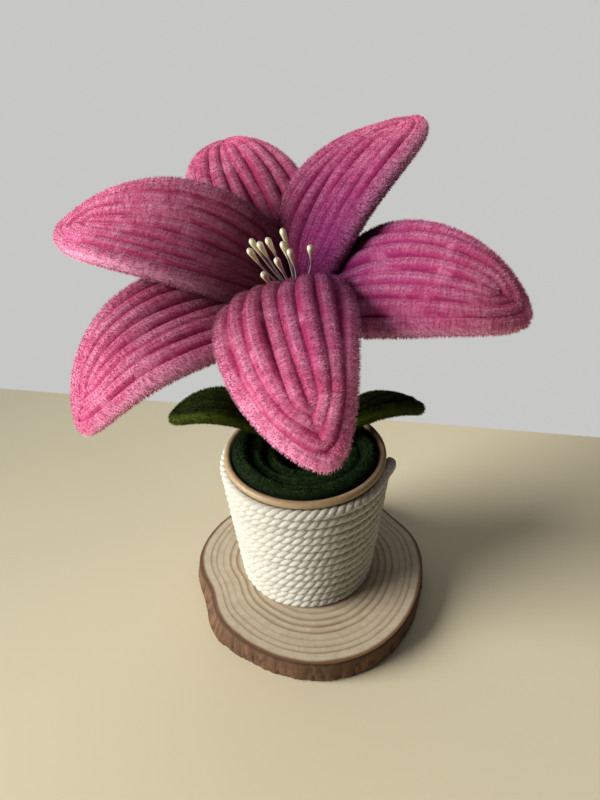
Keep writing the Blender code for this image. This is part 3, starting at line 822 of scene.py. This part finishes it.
def pile_colours():
    """Colour of chenille pile, with painted light and shade in it: painted shade at the fibres'
    roots and between the ribs, a painted highlight on the tips along the crowns, a painted glow on
    the outer fringe, and painted throat shade towards the foot. In random patches the grooves lose
    it."""
    group, given = start_group("chenille_pile", "ShaderNodeTree", {
        "Root And Groove Shade": "Color", "Body": "Color", "Tip Highlight": "Color", "Throat Shade Left": "Color",
        "Throat Shade Right": "Color", "Throat Shade Reach": "Float", "Unshaded Grooves": "Float"}, "Colour", "Color")
    place = object_place(group)
    tip = attribute(group, "tip")
    tuft = attribute(group, "pile_place", "Vector").noise(1.0, 1.0, result="Color").parts()[2]
    tuft = tuft.ramp((0.32, 0.0), (0.68, 1.0))
    # Painted shade between the ribs: away from each rib's crown the colour goes to the root shade.
    crown = attribute(group, "crown").ramp((0.5, 0.0), (0.82, 0.55), (0.98, 1.0))
    # In random patches the grooves count as crowns, so there they lose their painted shade.
    unshaded_grooves = place.noise(105.0).ramp((0.44, 0.0), (0.60, 1.0))
    crown = crown.maths("MAXIMUM", unshaded_grooves * given["Unshaded Grooves"])
    # Painted shade towards each fibre's root, where the pile shades itself.
    rising = (tuft * 0.3 + 0.75) * tip.ramp((0.0, 0.5), (0.5, 1.0))
    colour = ((crown * 0.8 + 0.2) * rising).mix(given["Root And Groove Shade"], given["Body"])
    # Painted highlight: the tips along the crowns go to the pale tip colour, more in random
    # patches.
    highlight_patches = place.noise(170.0, 1.0).ramp((0.38, 0.0), (0.62, 1.0))
    pale = tip.ramp((0.3, 0.0), (1.0, 0.9)) * crown.maths("POWER", 3.0)
    pale = pale * (tuft * 0.35 + 0.65) * (highlight_patches * 0.7 + 0.62)
    # Painted glow of light through the outer fringe: its tips go to the pale tip colour and
    # lighter.
    fringe = attribute(group, "fringe").ramp((0.3, 0.0), (0.9, 1.0)) * tip
    colour = pale.maths("MAXIMUM", fringe).mix(colour, given["Tip Highlight"])
    shade = tuft * 0.16 + (attribute(group, "tone") * 0.06 + 0.90)
    colour = new_flow(group, "ShaderNodeVectorMath", {0: colour, "Scale": fringe * 0.2 + shade},
                      operation="SCALE")
    # Painted throat shade towards the foot: a darker maroon on the left and purple on the right.
    throat_shade_share = (attribute(group, "reach") / given["Throat Shade Reach"]).ramp((0.0, 1.0), (0.3, 0.85),
                                                                       (1.0, 0.0))
    rightward = (place.parts()[0] * 60.0 + 0.5).ramp((0.0, 0.0), (1.0, 1.0))
    foot = rightward.mix(given["Throat Shade Left"], given["Throat Shade Right"])
    throat_shade_share.mix(colour, foot).into(group.nodes.new("NodeGroupOutput"), "Colour")
    return group


def chenille(name, pile, sheen, sheen_tint):
    """Chenille of these colours, each given by the name of its input in the pile's group."""
    material, tree, shader = start_material(name, 0.75)
    inputs = {label: (*value, 1.0) if isinstance(value, tuple) else value
              for label, value in pile.items()}
    new_flow(tree, "ShaderNodeGroup", inputs, node_tree=PILE_COLOURS).into(shader, "Base Color")
    shader.inputs["Sheen Weight"].default_value = sheen
    shader.inputs["Sheen Roughness"].default_value = 0.5
    shader.inputs["Sheen Tint"].default_value = (*sheen_tint, 1.0)
    shader.inputs["Specular IOR Level"].default_value = 0.08
    return material


def coil_path():
    """From its first end, which is tucked in along the wall, inwards to its last. The coil lies
    in a shallow dish, so its inner turn is lower."""
    outer = cup_outer_radius(COIL_OUTER_HEIGHT) - CUP_WALL - ROPE_GAP - COIL_RADIUS - COIL_WALL_GAP
    tucked = round(COIL_STEP_SHARE * COIL_STEPS_PER_TURN)
    points = []
    for i, radius in level_turns(outer, COIL_INNER_PATH, COIL_PITCH, COIL_STEP_SHARE,
                                 COIL_STEPS_PER_TURN, tucked):
        angle = COIL_START_ANGLE + math.tau * i / COIL_STEPS_PER_TURN
        share = (radius - COIL_INNER_PATH) / (outer - COIL_INNER_PATH)
        height = COIL_INNER_HEIGHT + (COIL_OUTER_HEIGHT - COIL_INNER_HEIGHT) * share
        sag = COIL_SAG * math.sin(2.3 * angle + 0.6) * MM
        sag -= COIL_TUCK_DEPTH * max(0.0, -i / tucked)
        points.append((radius * math.cos(angle), radius * math.sin(angle), height + sag))
    return points


PILE_COLOURS = pile_colours()
CHENILLE = chenille_tree()
# Its darkest colour is painted shade at the roots and between the turns, its palest a painted
# highlight.
deep_green = chenille("deep_green_chenille", {
    "Root And Groove Shade": (0.001, 0.004, 0.001), "Body": (0.011, 0.030, 0.007), "Tip Highlight": (0.075, 0.130, 0.040),
    "Throat Shade Left": (0.011, 0.030, 0.007), "Throat Shade Right": (0.011, 0.030, 0.007), "Throat Shade Reach": 0.2,
    "Unshaded Grooves": 0.0}, 0.03, (0.6, 0.9, 0.6))
coil = wire_object("coil_of_chenille", [(coil_path(), (0.0, 0.0, 1.0), 1.0, 0.0)])
made_by(CHENILLE, coil, {
    "Step": 1.4 * MM, "Sides": 10, "Body Radius": 2.75 * MM, "Pile Radius": 3.6 * MM,
    "Spread": 1.12, "Fibres": int(55000 * FIBRE_SHARE), "Fibre Width": 0.20 * MM,
    "Fringe Length": 0.0, "Tuft Length": 0.5 * MM, "Lean": 0.8, "Crowding": 0.35,
    "Flatness": 0.0, "Seed": 11, "Material": deep_green})
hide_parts("moss_coil")
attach(coil, "root")

# Stem. A stiff wire pushed into the foam and wrapped from foot to head in green chenille. At
# the top the wraps widen into a cup that grips the wires of the petals.
HEAD = Vector((-1.0 * MM, 0.4 * MM, 130.3 * MM))
HEAD_LEAN = Vector((-0.445, -0.40, 1.0))
# The flower's own directions: along its axis, across its face and up its face
AXIS = HEAD_LEAN.normalized()
ACROSS = (Vector((1, 0, 0)) - AXIS * AXIS.x).normalized()
UPWARD = AXIS.cross(ACROSS)
STEM_FOOT = Vector((0.5 * MM, 2.5 * MM, 34.0 * MM))
STEM_HEAD_JOIN = -15.0 * MM
STEM_BEND_START = 64.0 * MM
STEM_FOOT_PULL = Vector((1.0, 1.0, 20.0)) * MM
STEM_HEAD_PULL = 13.0 * MM
STRAIGHT_STEPS = 30
BEND_STEPS = 60
# The wrapped cup's radii and places along the flower's axis, from the stem up, then inwards
CUP_WRAPS = ((1.3, -20.0), (2.6, -18.6), (4.4, -16.4), (6.0, -14.0), (6.7, -11.6), (5.6, -10.2),
             (3.4, -10.0), (1.4, -10.0))
CUP_WRAP_STEPS = 260
CUP_WRAP_TURN = 0.16
CUP_WRAP_TILT = 0.4
WRAP_PITCH = 3.3 * MM
WRAP_PATH = 1.35 * MM


def round_face(angle):
    """The direction at an angle round the flower's face."""
    return ACROSS * math.cos(angle) + UPWARD * math.sin(angle)


def stem_line():
    """Points up the stem, from the foam over one easy bend to the flower's axis."""
    end = HEAD + AXIS * STEM_HEAD_JOIN
    start = Vector((STEM_FOOT.x, STEM_FOOT.y, STEM_BEND_START))
    first = start + STEM_FOOT_PULL
    second = end - AXIS * STEM_HEAD_PULL
    points = [STEM_FOOT.lerp(start, i / STRAIGHT_STEPS) for i in range(STRAIGHT_STEPS)]
    for i in range(BEND_STEPS + 1):
        t = i / BEND_STEPS
        points.append(start * (1 - t) ** 3 + first * (3 * t * (1 - t) ** 2)
                      + second * (3 * t * t * (1 - t)) + end * t ** 3)
    return points


def stem_wraps():
    """One wire wound up the stem and round the cup at its head."""
    points = []
    facing = []
    turned = 0.0
    line = stem_line()
    side = Vector((1, 0, 0))
    for here, there in zip(line, line[1:]):
        tangent = (there - here).normalized()
        side = (side - tangent * side.dot(tangent)).normalized()
        for part in range(2):
            turned += math.tau * (there - here).length / 2 / WRAP_PITCH
            out = side * math.cos(turned) + tangent.cross(side) * math.sin(turned)
            points.append(here.lerp(there, part / 2) + out * WRAP_PATH)
            facing.append(out)
    places = np.linspace(0, len(CUP_WRAPS) - 1, CUP_WRAP_STEPS)
    radii, heights = (np.interp(places, range(len(CUP_WRAPS)), row) for row in zip(*CUP_WRAPS))
    for radius, height in zip(radii, heights):
        turned += CUP_WRAP_TURN
        out = round_face(turned)
        points.append(HEAD + AXIS * (height * MM) + out * (radius * MM))
        facing.append((out + AXIS * CUP_WRAP_TILT).normalized())
    return points, facing


# Its darkest colour is painted shade at the roots and between the ribs, its palest a painted
# highlight.
green = chenille("green_chenille", {
    "Root And Groove Shade": (0.0008, 0.002, 0.0002), "Body": (0.0055, 0.0110, 0.0006),
    "Tip Highlight": (0.062, 0.088, 0.005), "Throat Shade Left": (0.006, 0.011, 0.001),
    "Throat Shade Right": (0.006, 0.011, 0.001), "Throat Shade Reach": 0.2, "Unshaded Grooves": 0.0}, 0.02,
    (0.7, 0.9, 0.2))
stem = wire_object("stem_in_chenille", [(*stem_wraps(), 1.0, 0.0)])
made_by(CHENILLE, stem, {
    "Step": 1.1 * MM, "Sides": 8, "Body Radius": 1.65 * MM, "Pile Radius": 2.15 * MM,
    "Spread": 1.0, "Fibres": int(30000 * FIBRE_SHARE), "Fibre Width": 0.18 * MM,
    "Fringe Length": 0.0, "Tuft Length": 0.5 * MM, "Lean": 0.8, "Crowding": -0.2,
    "Flatness": 0.0, "Seed": 23, "Material": green})
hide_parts("stem")
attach(stem, "root")

# Leaves. Each is two nested loops of green chenille, so four ribs across, pinched together
# at the foot and pushed into the foam. They arch out of the cup to the left and the right.
WIRE_CLEARANCE = 2.65 * MM
WIRE_WANDER = 0.4 * MM
# Wave lengths of a wire beside the midrib and above the sheet, on either half of its loop
WANDER_WAVES = (7.5 * MM, 8.5 * MM)
RISE_WAVES = (9.0 * MM, 8.0 * MM)
WIRE_RISE = 0.3
TIGHTEST_PITCH = 2.5 * MM
LOOP_STEP = 1.0 * MM
LOOP_CLOSES_AT = 0.2 * MM
NECK_HALF_WIDTH = 0.8 * MM
NECK_STEPS = 12
# Shares of a blade's length: where its inner loops begin, where its neck ends, where its roll
# is complete, and over how much of it the ribs spread out past the tip of an inner loop
INNER_LOOP_FOOT = 0.03
NECK_SHARE = 0.1
ROLL_SHARE = 0.3
LOOP_END_SHARE = 0.06
LEAF_FOOT_DEPTH = 12.0 * MM
LEAF_FEET = (Vector((-6.0 * MM, 2.0 * MM, 61.0 * MM)), Vector((6.4 * MM, 2.6 * MM, 61.0 * MM)))
# How a blade's loops are laid out. The outline is where it is widest, the fullness of its
# tip, the length of its narrow neck and, below 1, a fuller base, all as shares. The arch is
# how far the sheet rises between midrib and edge.
Cut = namedtuple("Cut", "width outline loops arch")
LEAF_CUTS = (Cut(21.5 * MM, (0.62, 0.58, 0.25, 1.0), 2, 0.6 * MM),
             Cut(21.5 * MM, (0.80, 0.30, 0.25, 1.0), 2, 0.6 * MM))
# Angles are in degrees and lengths in millimetres. A blade leaves its neck at the angle rise
# and turns downwards by bend on the way to its tip; power below 1 turns it early. The cup
# angles are how far its sheet turns up from midrib to edge, at the base and at the tip.
Blade = namedtuple("Blade", "name azimuth rise bend power roll length cup_base cup_tip drop")
LEAVES = (
    Blade("leaf_left", 179, 82, 122, 1.17, 2, 57.0, 18, 18, 0.0),
    Blade("leaf_right", 25, 75, 114, 1.0, -13, 49.5, -6, -6, 0.0),
)


def outline_share(s, outline):
    """Half width of a blade as a share of its greatest."""
    widest, fullness, neck, shoulder = outline
    s = np.clip(s, 1e-6, 1 - 1e-6)
    rise_power = shoulder * fullness * widest / (1.0 - widest)
    share = (s / widest) ** rise_power * ((1.0 - s) / (1.0 - widest)) ** fullness
    return share * (1.0 - np.exp(-(s / neck) ** 2))


def outer_wire(s, cut):
    """Distance of the outermost wire from the midrib."""
    covered = WIRE_CLEARANCE * np.minimum(1.0, s / NECK_SHARE + 0.05)
    return np.maximum(0.0, cut.width / 2 * outline_share(s, cut.outline) - covered)


def even_steps(points, step):
    """The same line with its points an even step apart."""
    places = np.concatenate(([0.0], np.cumsum(np.linalg.norm(np.diff(points, axis=0), axis=1))))
    wanted = np.linspace(0.0, places[-1], max(2, int(places[-1] / step)))
    return np.stack([np.interp(wanted, places, points[:, k]) for k in range(points.shape[1])], 1)


def loops_beside(s, outer, cut):
    """How many wires fit from midrib to edge: one fewer past the tip of each inner loop."""
    fitting = np.full_like(s, cut.loops - 0.5)
    for number in range(cut.loops - 1, 0, -1):
        room = (number + 0.5) * TIGHTEST_PITCH
        ends = s[(s > cut.outline[0]) & (outer < room)][0]
        fitting -= eased(np.clip((s - ends) / LOOP_END_SHARE + 0.5, 0.0, 1.0))
    return fitting


def loop_laid_flat(blade, cut, number, draw):
    """One loop, up one side and down the other, with its place along the midrib, its distance
    from it and a slight rise and fall."""
    length = blade.length * MM
    s = np.linspace(0.0, 0.995, 500)
    outer = outer_wire(s, cut)
    beside = outer * (1 - number / loops_beside(s, outer, cut))
    keep = (s < cut.outline[0]) | (beside > LOOP_CLOSES_AT)
    if number:
        keep &= s > INNER_LOOP_FOOT
    beside = np.where(s < NECK_SHARE, np.maximum(beside, NECK_HALF_WIDTH), beside)[keep]
    s = s[keep]
    phases = draw.uniform(0, math.tau, 4)
    wander = min(1.0, 0.4 + 0.2 * number) * WIRE_WANDER

    def half_of_loop(half, sign):
        drift = wander * np.sin(s * length / WANDER_WAVES[half] + phases[half])
        rise = np.sin(s * length / RISE_WAVES[half] + phases[2 + half])
        return np.stack([s * length, sign * (beside + drift * np.minimum(1, s * 5)), rise], 1)

    up = half_of_loop(0, -1)
    down = half_of_loop(1, 1)[::-1]
    line = even_steps(np.concatenate([up, down]) * (1, 1, MM), LOOP_STEP)
    for _ in range(3):
        line[1:-1] = (line[:-2] + 2 * line[1:-1] + line[2:]) / 4
    return line


def on_blade(blade, cut, root, outward, axis, line):
    """A line laid flat, put on the blade's curved sheet, and the sheet's facing along it."""
    length = blade.length * MM
    s = np.linspace(0.0, 1.0, 300)
    angle = np.radians(blade.rise - blade.bend * np.maximum(s, 1e-9) ** blade.power)
    tangent = np.outer(np.cos(angle), outward) + np.outer(np.sin(angle), axis)
    steps = 0.5 * (tangent[1:] + tangent[:-1]) * (length / (len(s) - 1))
    midrib = np.array(root) + np.concatenate(([[0, 0, 0]], np.cumsum(steps, axis=0)))
    normal = np.outer(np.cos(angle), axis) - np.outer(np.sin(angle), outward)
    here = line[:, 0] / length
    beside = line[:, 1]

    def at(rows):
        return np.stack([np.interp(here, s, rows[:, k]) for k in range(3)], 1)

    sideways = np.array(Vector(axis).cross(Vector(outward)))
    roll = np.radians(blade.roll) * np.minimum(1.0, here / ROLL_SHARE)
    upright = at(normal)
    across = sideways * np.cos(roll)[:, None] + upright * np.sin(roll)[:, None]
    facing = upright * np.cos(roll)[:, None] - sideways * np.sin(roll)[:, None]
    turn = np.radians(blade.cup_base * (1 - here) + blade.cup_tip * here) / (cut.width / 2)
    turn = np.where(np.abs(turn) < 1e-6, 1e-6, turn)
    half = np.maximum(outer_wire(here, cut), 1e-6)
    out = np.clip(np.abs(beside) / half, 0.0, 1.0)
    lift = ((1 - np.cos(turn * beside)) / turn
            + cut.arch * half / (cut.width / 2) * 4 * out * (1 - out))
    lift = lift + line[:, 2] * WIRE_RISE
    flat = np.sin(turn * beside) / turn
    points = at(midrib) + across * flat[:, None] + facing * lift[:, None]
    bend = (turn * beside)[:, None]
    return points, facing * np.cos(bend) - across * np.sin(bend)


def blade_runs(blade, cut, root, outward, axis, foot_depth, seed):
    """The wires of one blade, the outermost with its two ends down in the neck."""
    draw = np.random.default_rng(seed)
    runs = []
    for number in range(cut.loops):
        line = loop_laid_flat(blade, cut, number, draw)
        points, facing = on_blade(blade, cut, root, outward, axis, line)
        reach = line[:, 0] / (blade.length * MM)
        if number == 0:
            depth = np.linspace(foot_depth, 0.0, NECK_STEPS, endpoint=False)[:, None]
            first = points[0] - depth * np.array(axis)
            last = (points[-1] - depth * np.array(axis))[::-1]
            points = np.concatenate([first, points, last])
            facing = np.pad(facing, ((NECK_STEPS, NECK_STEPS), (0, 0)), "edge")
            reach = np.pad(reach, NECK_STEPS)
        runs.append((points, facing, reach, 0.0 if number else 1.0))
    return runs


for number, (blade, cut, root) in enumerate(zip(LEAVES, LEAF_CUTS, LEAF_FEET)):
    runs = blade_runs(blade, cut, root, side_at(math.radians(blade.azimuth)), Vector((0, 0, 1)),
                      LEAF_FOOT_DEPTH, 40 + number)
    leaf = wire_object(blade.name + "_of_chenille", runs)
    made_by(CHENILLE, leaf, {
        "Step": 1.2 * MM, "Sides": 10, "Body Radius": 2.3 * MM, "Pile Radius": 2.9 * MM,
        "Spread": 1.15, "Fibres": int(36000 * FIBRE_SHARE), "Fibre Width": 0.18 * MM,
        "Fringe Length": 0.2 * MM, "Tuft Length": 0.5 * MM, "Lean": 0.8, "Crowding": 0.3,
        "Flatness": 0.0, "Seed": 31 + number, "Material": green})
    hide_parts(blade.name)
    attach(leaf, "root")

# Petals. Each is four nested loops of pink chenille, so eight ribs across; the tips of the
# inner loops end one behind another along the midrib. The wires are twisted together at the
# neck and pushed into the head of the stem, three petals above and three below.
NECK_RING = 5.2 * MM
NECK_DEPTH = 13.0 * MM
OUTER_DROP = 6.3 * MM
PETAL_CUT = Cut(38.0 * MM, (0.49, 0.68, 0.05, 0.75), 4, 1.6 * MM)
PETALS = (
    Blade("petal_left", 162, 81, 87, 0.67, -2, 83.0, 46, 16, 0.0),
    Blade("petal_back", 107, 57.5, 88, 1.03, 14, 85.0, 11, -17, OUTER_DROP),
    Blade("petal_upper_right", 49, 92, 116, 0.35, -4, 72.5, 24, 2, 0.0),
    Blade("petal_right", -22, 45, 108, 1.16, 3, 73.0, 9, -21, OUTER_DROP),
    Blade("petal_front", -80, 81, 126, 0.79, -14, 82.0, -17, -46, 0.0),
    Blade("petal_lower_left", -147.5, 58, 107, 1.43, -12, 86.0, 25, -5, OUTER_DROP),
)

# Its root colour is painted shade, its tip colour a painted highlight and glow, its foot colours
# painted throat shade.
pink = chenille("pink_chenille", {
    "Root And Groove Shade": (0.26, 0.008, 0.060), "Body": (0.62, 0.060, 0.200), "Tip Highlight": (0.95, 0.53, 0.73),
    "Throat Shade Left": (0.06, 0.001, 0.010), "Throat Shade Right": (0.125, 0.005, 0.080), "Throat Shade Reach": 0.80,
    "Unshaded Grooves": 0.85}, 0.12, (1.0, 0.66, 0.82))
for number, blade in enumerate(PETALS):
    outward = round_face(math.radians(blade.azimuth))
    root = HEAD + outward * NECK_RING - AXIS * blade.drop
    runs = blade_runs(blade, PETAL_CUT, root, outward, AXIS, NECK_DEPTH - blade.drop, 60 + number)
    petal = wire_object(blade.name + "_of_chenille", runs)
    made_by(CHENILLE, petal, {
        "Step": 1.2 * MM, "Sides": 12, "Body Radius": 2.54 * MM, "Pile Radius": 2.92 * MM,
        "Spread": 1.17, "Fibres": int(100000 * FIBRE_SHARE), "Fibre Width": 0.16 * MM,
        "Fringe Length": 0.5 * MM, "Tuft Length": 0.6 * MM, "Lean": 0.4, "Crowding": 0.25,
        "Flatness": 0.35, "Seed": 71 + number, "Material": pink})
    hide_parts(blade.name)
    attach(petal, "root")

# Stamens. Ten white threads stiffened with glue, each dipped at its end into a glossy cream
# drop. They are tied in a bundle between the petal necks and fan out towards the front.
STAMEN_LENGTH = 23.0 * MM
STAMEN_FOOT = -4.0 * MM
STAMEN_FOOT_SPREAD = 0.6 * MM
STAMEN_MIDDLE = 3.0 * MM
STAMEN_SPREAD = 0.09 * MM
STAMEN_BOW = 0.06 * MM
THREAD_RADIUS = 0.28 * MM
DROP_RADIUS = 0.94 * MM
DROP_LENGTH = 7.6 * MM
# The drop's share of its length and of its radius, from where it meets the thread
DROP_PROFILE = ((0.0, 0.30), (0.18, 0.44), (0.38, 0.62), (0.58, 0.80), (0.74, 0.95), (0.84, 1.0),
                (0.92, 0.84), (0.98, 0.46), (1.0, 0.14))
# Each stamen's lean from the flower's axis and the side it leans to, in degrees
STAMENS = ((9, -176), (14, -144), (7, -116), (6, -64), (13, -4), (18, -44), (26, -48), (25, -72),
           (31, -97), (36, -28))
GLAZE_CREAMS = ((0.80, 0.74, 0.46), (0.90, 0.85, 0.64))
THREAD_GREY = (0.44, 0.37, 0.37)


def stamen_tree():
    """Tubes along the threads whose thickness follows the profile kept at each point."""
    tree, given = start_tree("stamens", {"Sides": "Int", "Material": "Material"})
    line = shape(tree, "MeshToCurve", {"Mesh": given["Geometry"]})
    ring = shape(tree, "CurvePrimitiveCircle", {"Resolution": given["Sides"], "Radius": 1.0})
    tube = tube_along(tree, line, ring, Scale=stored(tree, "reach"))
    smooth = shape(tree, "SetShadeSmooth", {"Geometry": tube})
    end_tree(tree, store(smooth, "thickness", stored(tree, "reach")), given["Material"])
    return tree


def glazed_cream():
    """Cream glaze on the drops, duller and whiter on the thread."""
    material, tree, shader = start_material("glazed_cream", 0.4)
    drop = attribute(tree, "thickness") / DROP_RADIUS
    mottle = object_place(tree).noise(600.0)
    cream = mottle.ramp((0.3, GLAZE_CREAMS[0]), (0.7, GLAZE_CREAMS[1]))
    drop.ramp((0.32, 0.0), (0.55, 1.0)).mix(THREAD_GREY, cream).into(shader, "Base Color")
    drop.ramp((0.3, 0.7), (0.6, 0.4)).into(shader, "Roughness")
    shader.inputs["Subsurface Weight"].default_value = 0.15
    shader.inputs["Subsurface Radius"].default_value = (1.0 * MM, 0.8 * MM, 0.4 * MM)
    mottle.bump(shader, 0.15, 0.2 * MM)
    return material


def stamen_runs():
    """Threads that bow outwards from one bundle. Their reach is the radius at each point."""
    runs = []
    middle = HEAD + AXIS * STAMEN_MIDDLE
    for lean, side in STAMENS:
        tilt = math.radians(lean)
        sideways = round_face(math.radians(side))
        direction = AXIS * math.cos(tilt) + sideways * math.sin(tilt)
        root = middle - ACROSS * (1.0 * MM) + sideways * (STAMEN_SPREAD * lean)
        end = middle + ACROSS * (0.5 * MM) + sideways * (0.5 * MM) + direction * STAMEN_LENGTH
        neck = 1.0 - DROP_LENGTH / (end - root).length
        steps = [(neck * part, THREAD_RADIUS) for part in (0.0, 0.3, 0.6, 0.85)]
        for share, wide in DROP_PROFILE:
            narrowest = THREAD_RADIUS if share < 0.5 else 0.0
            steps.append((neck + (1.0 - neck) * share, max(narrowest, DROP_RADIUS * wide)))
        points = [HEAD + AXIS * STAMEN_FOOT + sideways * STAMEN_FOOT_SPREAD]
        for step, radius in steps:
            bow = sideways * (STAMEN_BOW * lean * math.sin(math.pi * step))
            points.append(root.lerp(end, step) + bow)
        runs.append((points, AXIS, [THREAD_RADIUS] + [radius for step, radius in steps], 0.0))
    return runs


stamens = wire_object("stamens_of_thread", stamen_runs())
made_by(stamen_tree(), stamens, {"Sides": 16, "Material": glazed_cream()})
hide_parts("stamens")
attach(stamens, "root")

# Stage. A cream table top that ends behind the pot, pale grey beyond it, one large soft
# light at the left and a weak one above, and the camera where the photograph was taken
# from, close to the flower and looking down on it.
CAMERA_PLACE = Vector((0.0, -176.5 * MM, 206.5 * MM))
CAMERA_PITCH = math.radians(33.36)
CAMERA_YAW = math.radians(-0.43)
CAMERA_ROLL = math.radians(-1.60)
CAMERA_LENS = 27.05
SENSOR_WIDTH = 36.0
TABLE_CORNERS = [Vector((-0.9, 0.290, 0.0)), Vector((0.9, -0.045, 0.0)), Vector((0.9, -1.4, 0)),
                 Vector((-0.9, -1.4, 0))]
# The table's painted shade: the direction in which it deepens, and its lit and its shaded cream
TABLE_SHADE_DIRECTION = Vector((-0.7, 0.7, 0.0))
TABLE_LIT_AND_SHADED_CREAMS = ((0.68, 0.605, 0.42), (0.44, 0.41, 0.295))
ROOM_GREY = (0.57, 0.57, 0.56, 1.0)
ROOM_LIGHT = 0.09
LIGHTS_AIM = Vector((0.0, 0.0, 0.10))


def place_camera():
    forward = Vector((math.sin(CAMERA_YAW) * math.cos(CAMERA_PITCH),
                      math.cos(CAMERA_YAW) * math.cos(CAMERA_PITCH), -math.sin(CAMERA_PITCH)))
    level = forward.cross(Vector((0, 0, 1))).normalized()
    above = level.cross(forward)
    right = level * math.cos(CAMERA_ROLL) + above * math.sin(CAMERA_ROLL)
    up = above * math.cos(CAMERA_ROLL) - level * math.sin(CAMERA_ROLL)
    data = bpy.data.cameras.new("camera")
    data.lens = CAMERA_LENS
    data.sensor_width = SENSOR_WIDTH
    data.clip_start = 0.01
    camera = add_object("camera", data)
    camera.matrix_world = (Matrix.Translation(CAMERA_PLACE)
                           @ Matrix((right, up, -forward)).transposed().to_4x4())
    bpy.context.scene.camera = camera


def place_light(name, place, size, power, colour):
    """A round soft light that points at the flower."""
    data = bpy.data.lights.new(name, "AREA")
    data.shape = "DISK"
    data.size = size
    data.energy = power
    data.color = colour
    light = add_object(name, data)
    light.matrix_world = (Matrix.Translation(place)
                          @ (LIGHTS_AIM - place).to_track_quat("-Z", "Y").to_matrix().to_4x4())
    light.visible_camera = False


def make_table():
    """Cream card with painted shade that deepens slowly away from the window light."""
    table = mesh_piece("table", TABLE_CORNERS, [(0, 3, 2, 1)])
    material, tree, shader = start_material("cream_table", 0.6)
    place = object_place(tree)
    # Painted shade: the cream darkens away from the window light, with a faint random waver.
    away = place.noise(9.0) * 0.05 + place.dot(TABLE_SHADE_DIRECTION)
    away.ramp((0.05, TABLE_LIT_AND_SHADED_CREAMS[0]), (0.26, TABLE_LIT_AND_SHADED_CREAMS[1])).into(shader, "Base Color")
    table.data.materials.append(material)


def light_world():
    """Pale grey all round, seen brighter than it lights."""
    bpy.context.scene.view_settings.view_transform = "Standard"
    world = bpy.data.worlds.new("pale_grey")
    bpy.context.scene.world = world
    world.use_nodes = True
    background = world.node_tree.nodes["Background"]
    background.inputs["Color"].default_value = ROOM_GREY
    seen = new_flow(world.node_tree, "ShaderNodeLightPath", None, "Is Camera Ray")
    (seen * (1.0 - ROOM_LIGHT) + ROOM_LIGHT).into(background, "Strength")


place_camera()
make_table()
light_world()
place_light("window", Vector((-2.40, -0.60, 1.20)), 1.7, 140.0, (1.0, 0.98, 0.95))
place_light("ceiling", Vector((-0.05, 0.35, 1.30)), 1.4, 3.9, (0.99, 0.98, 0.97))
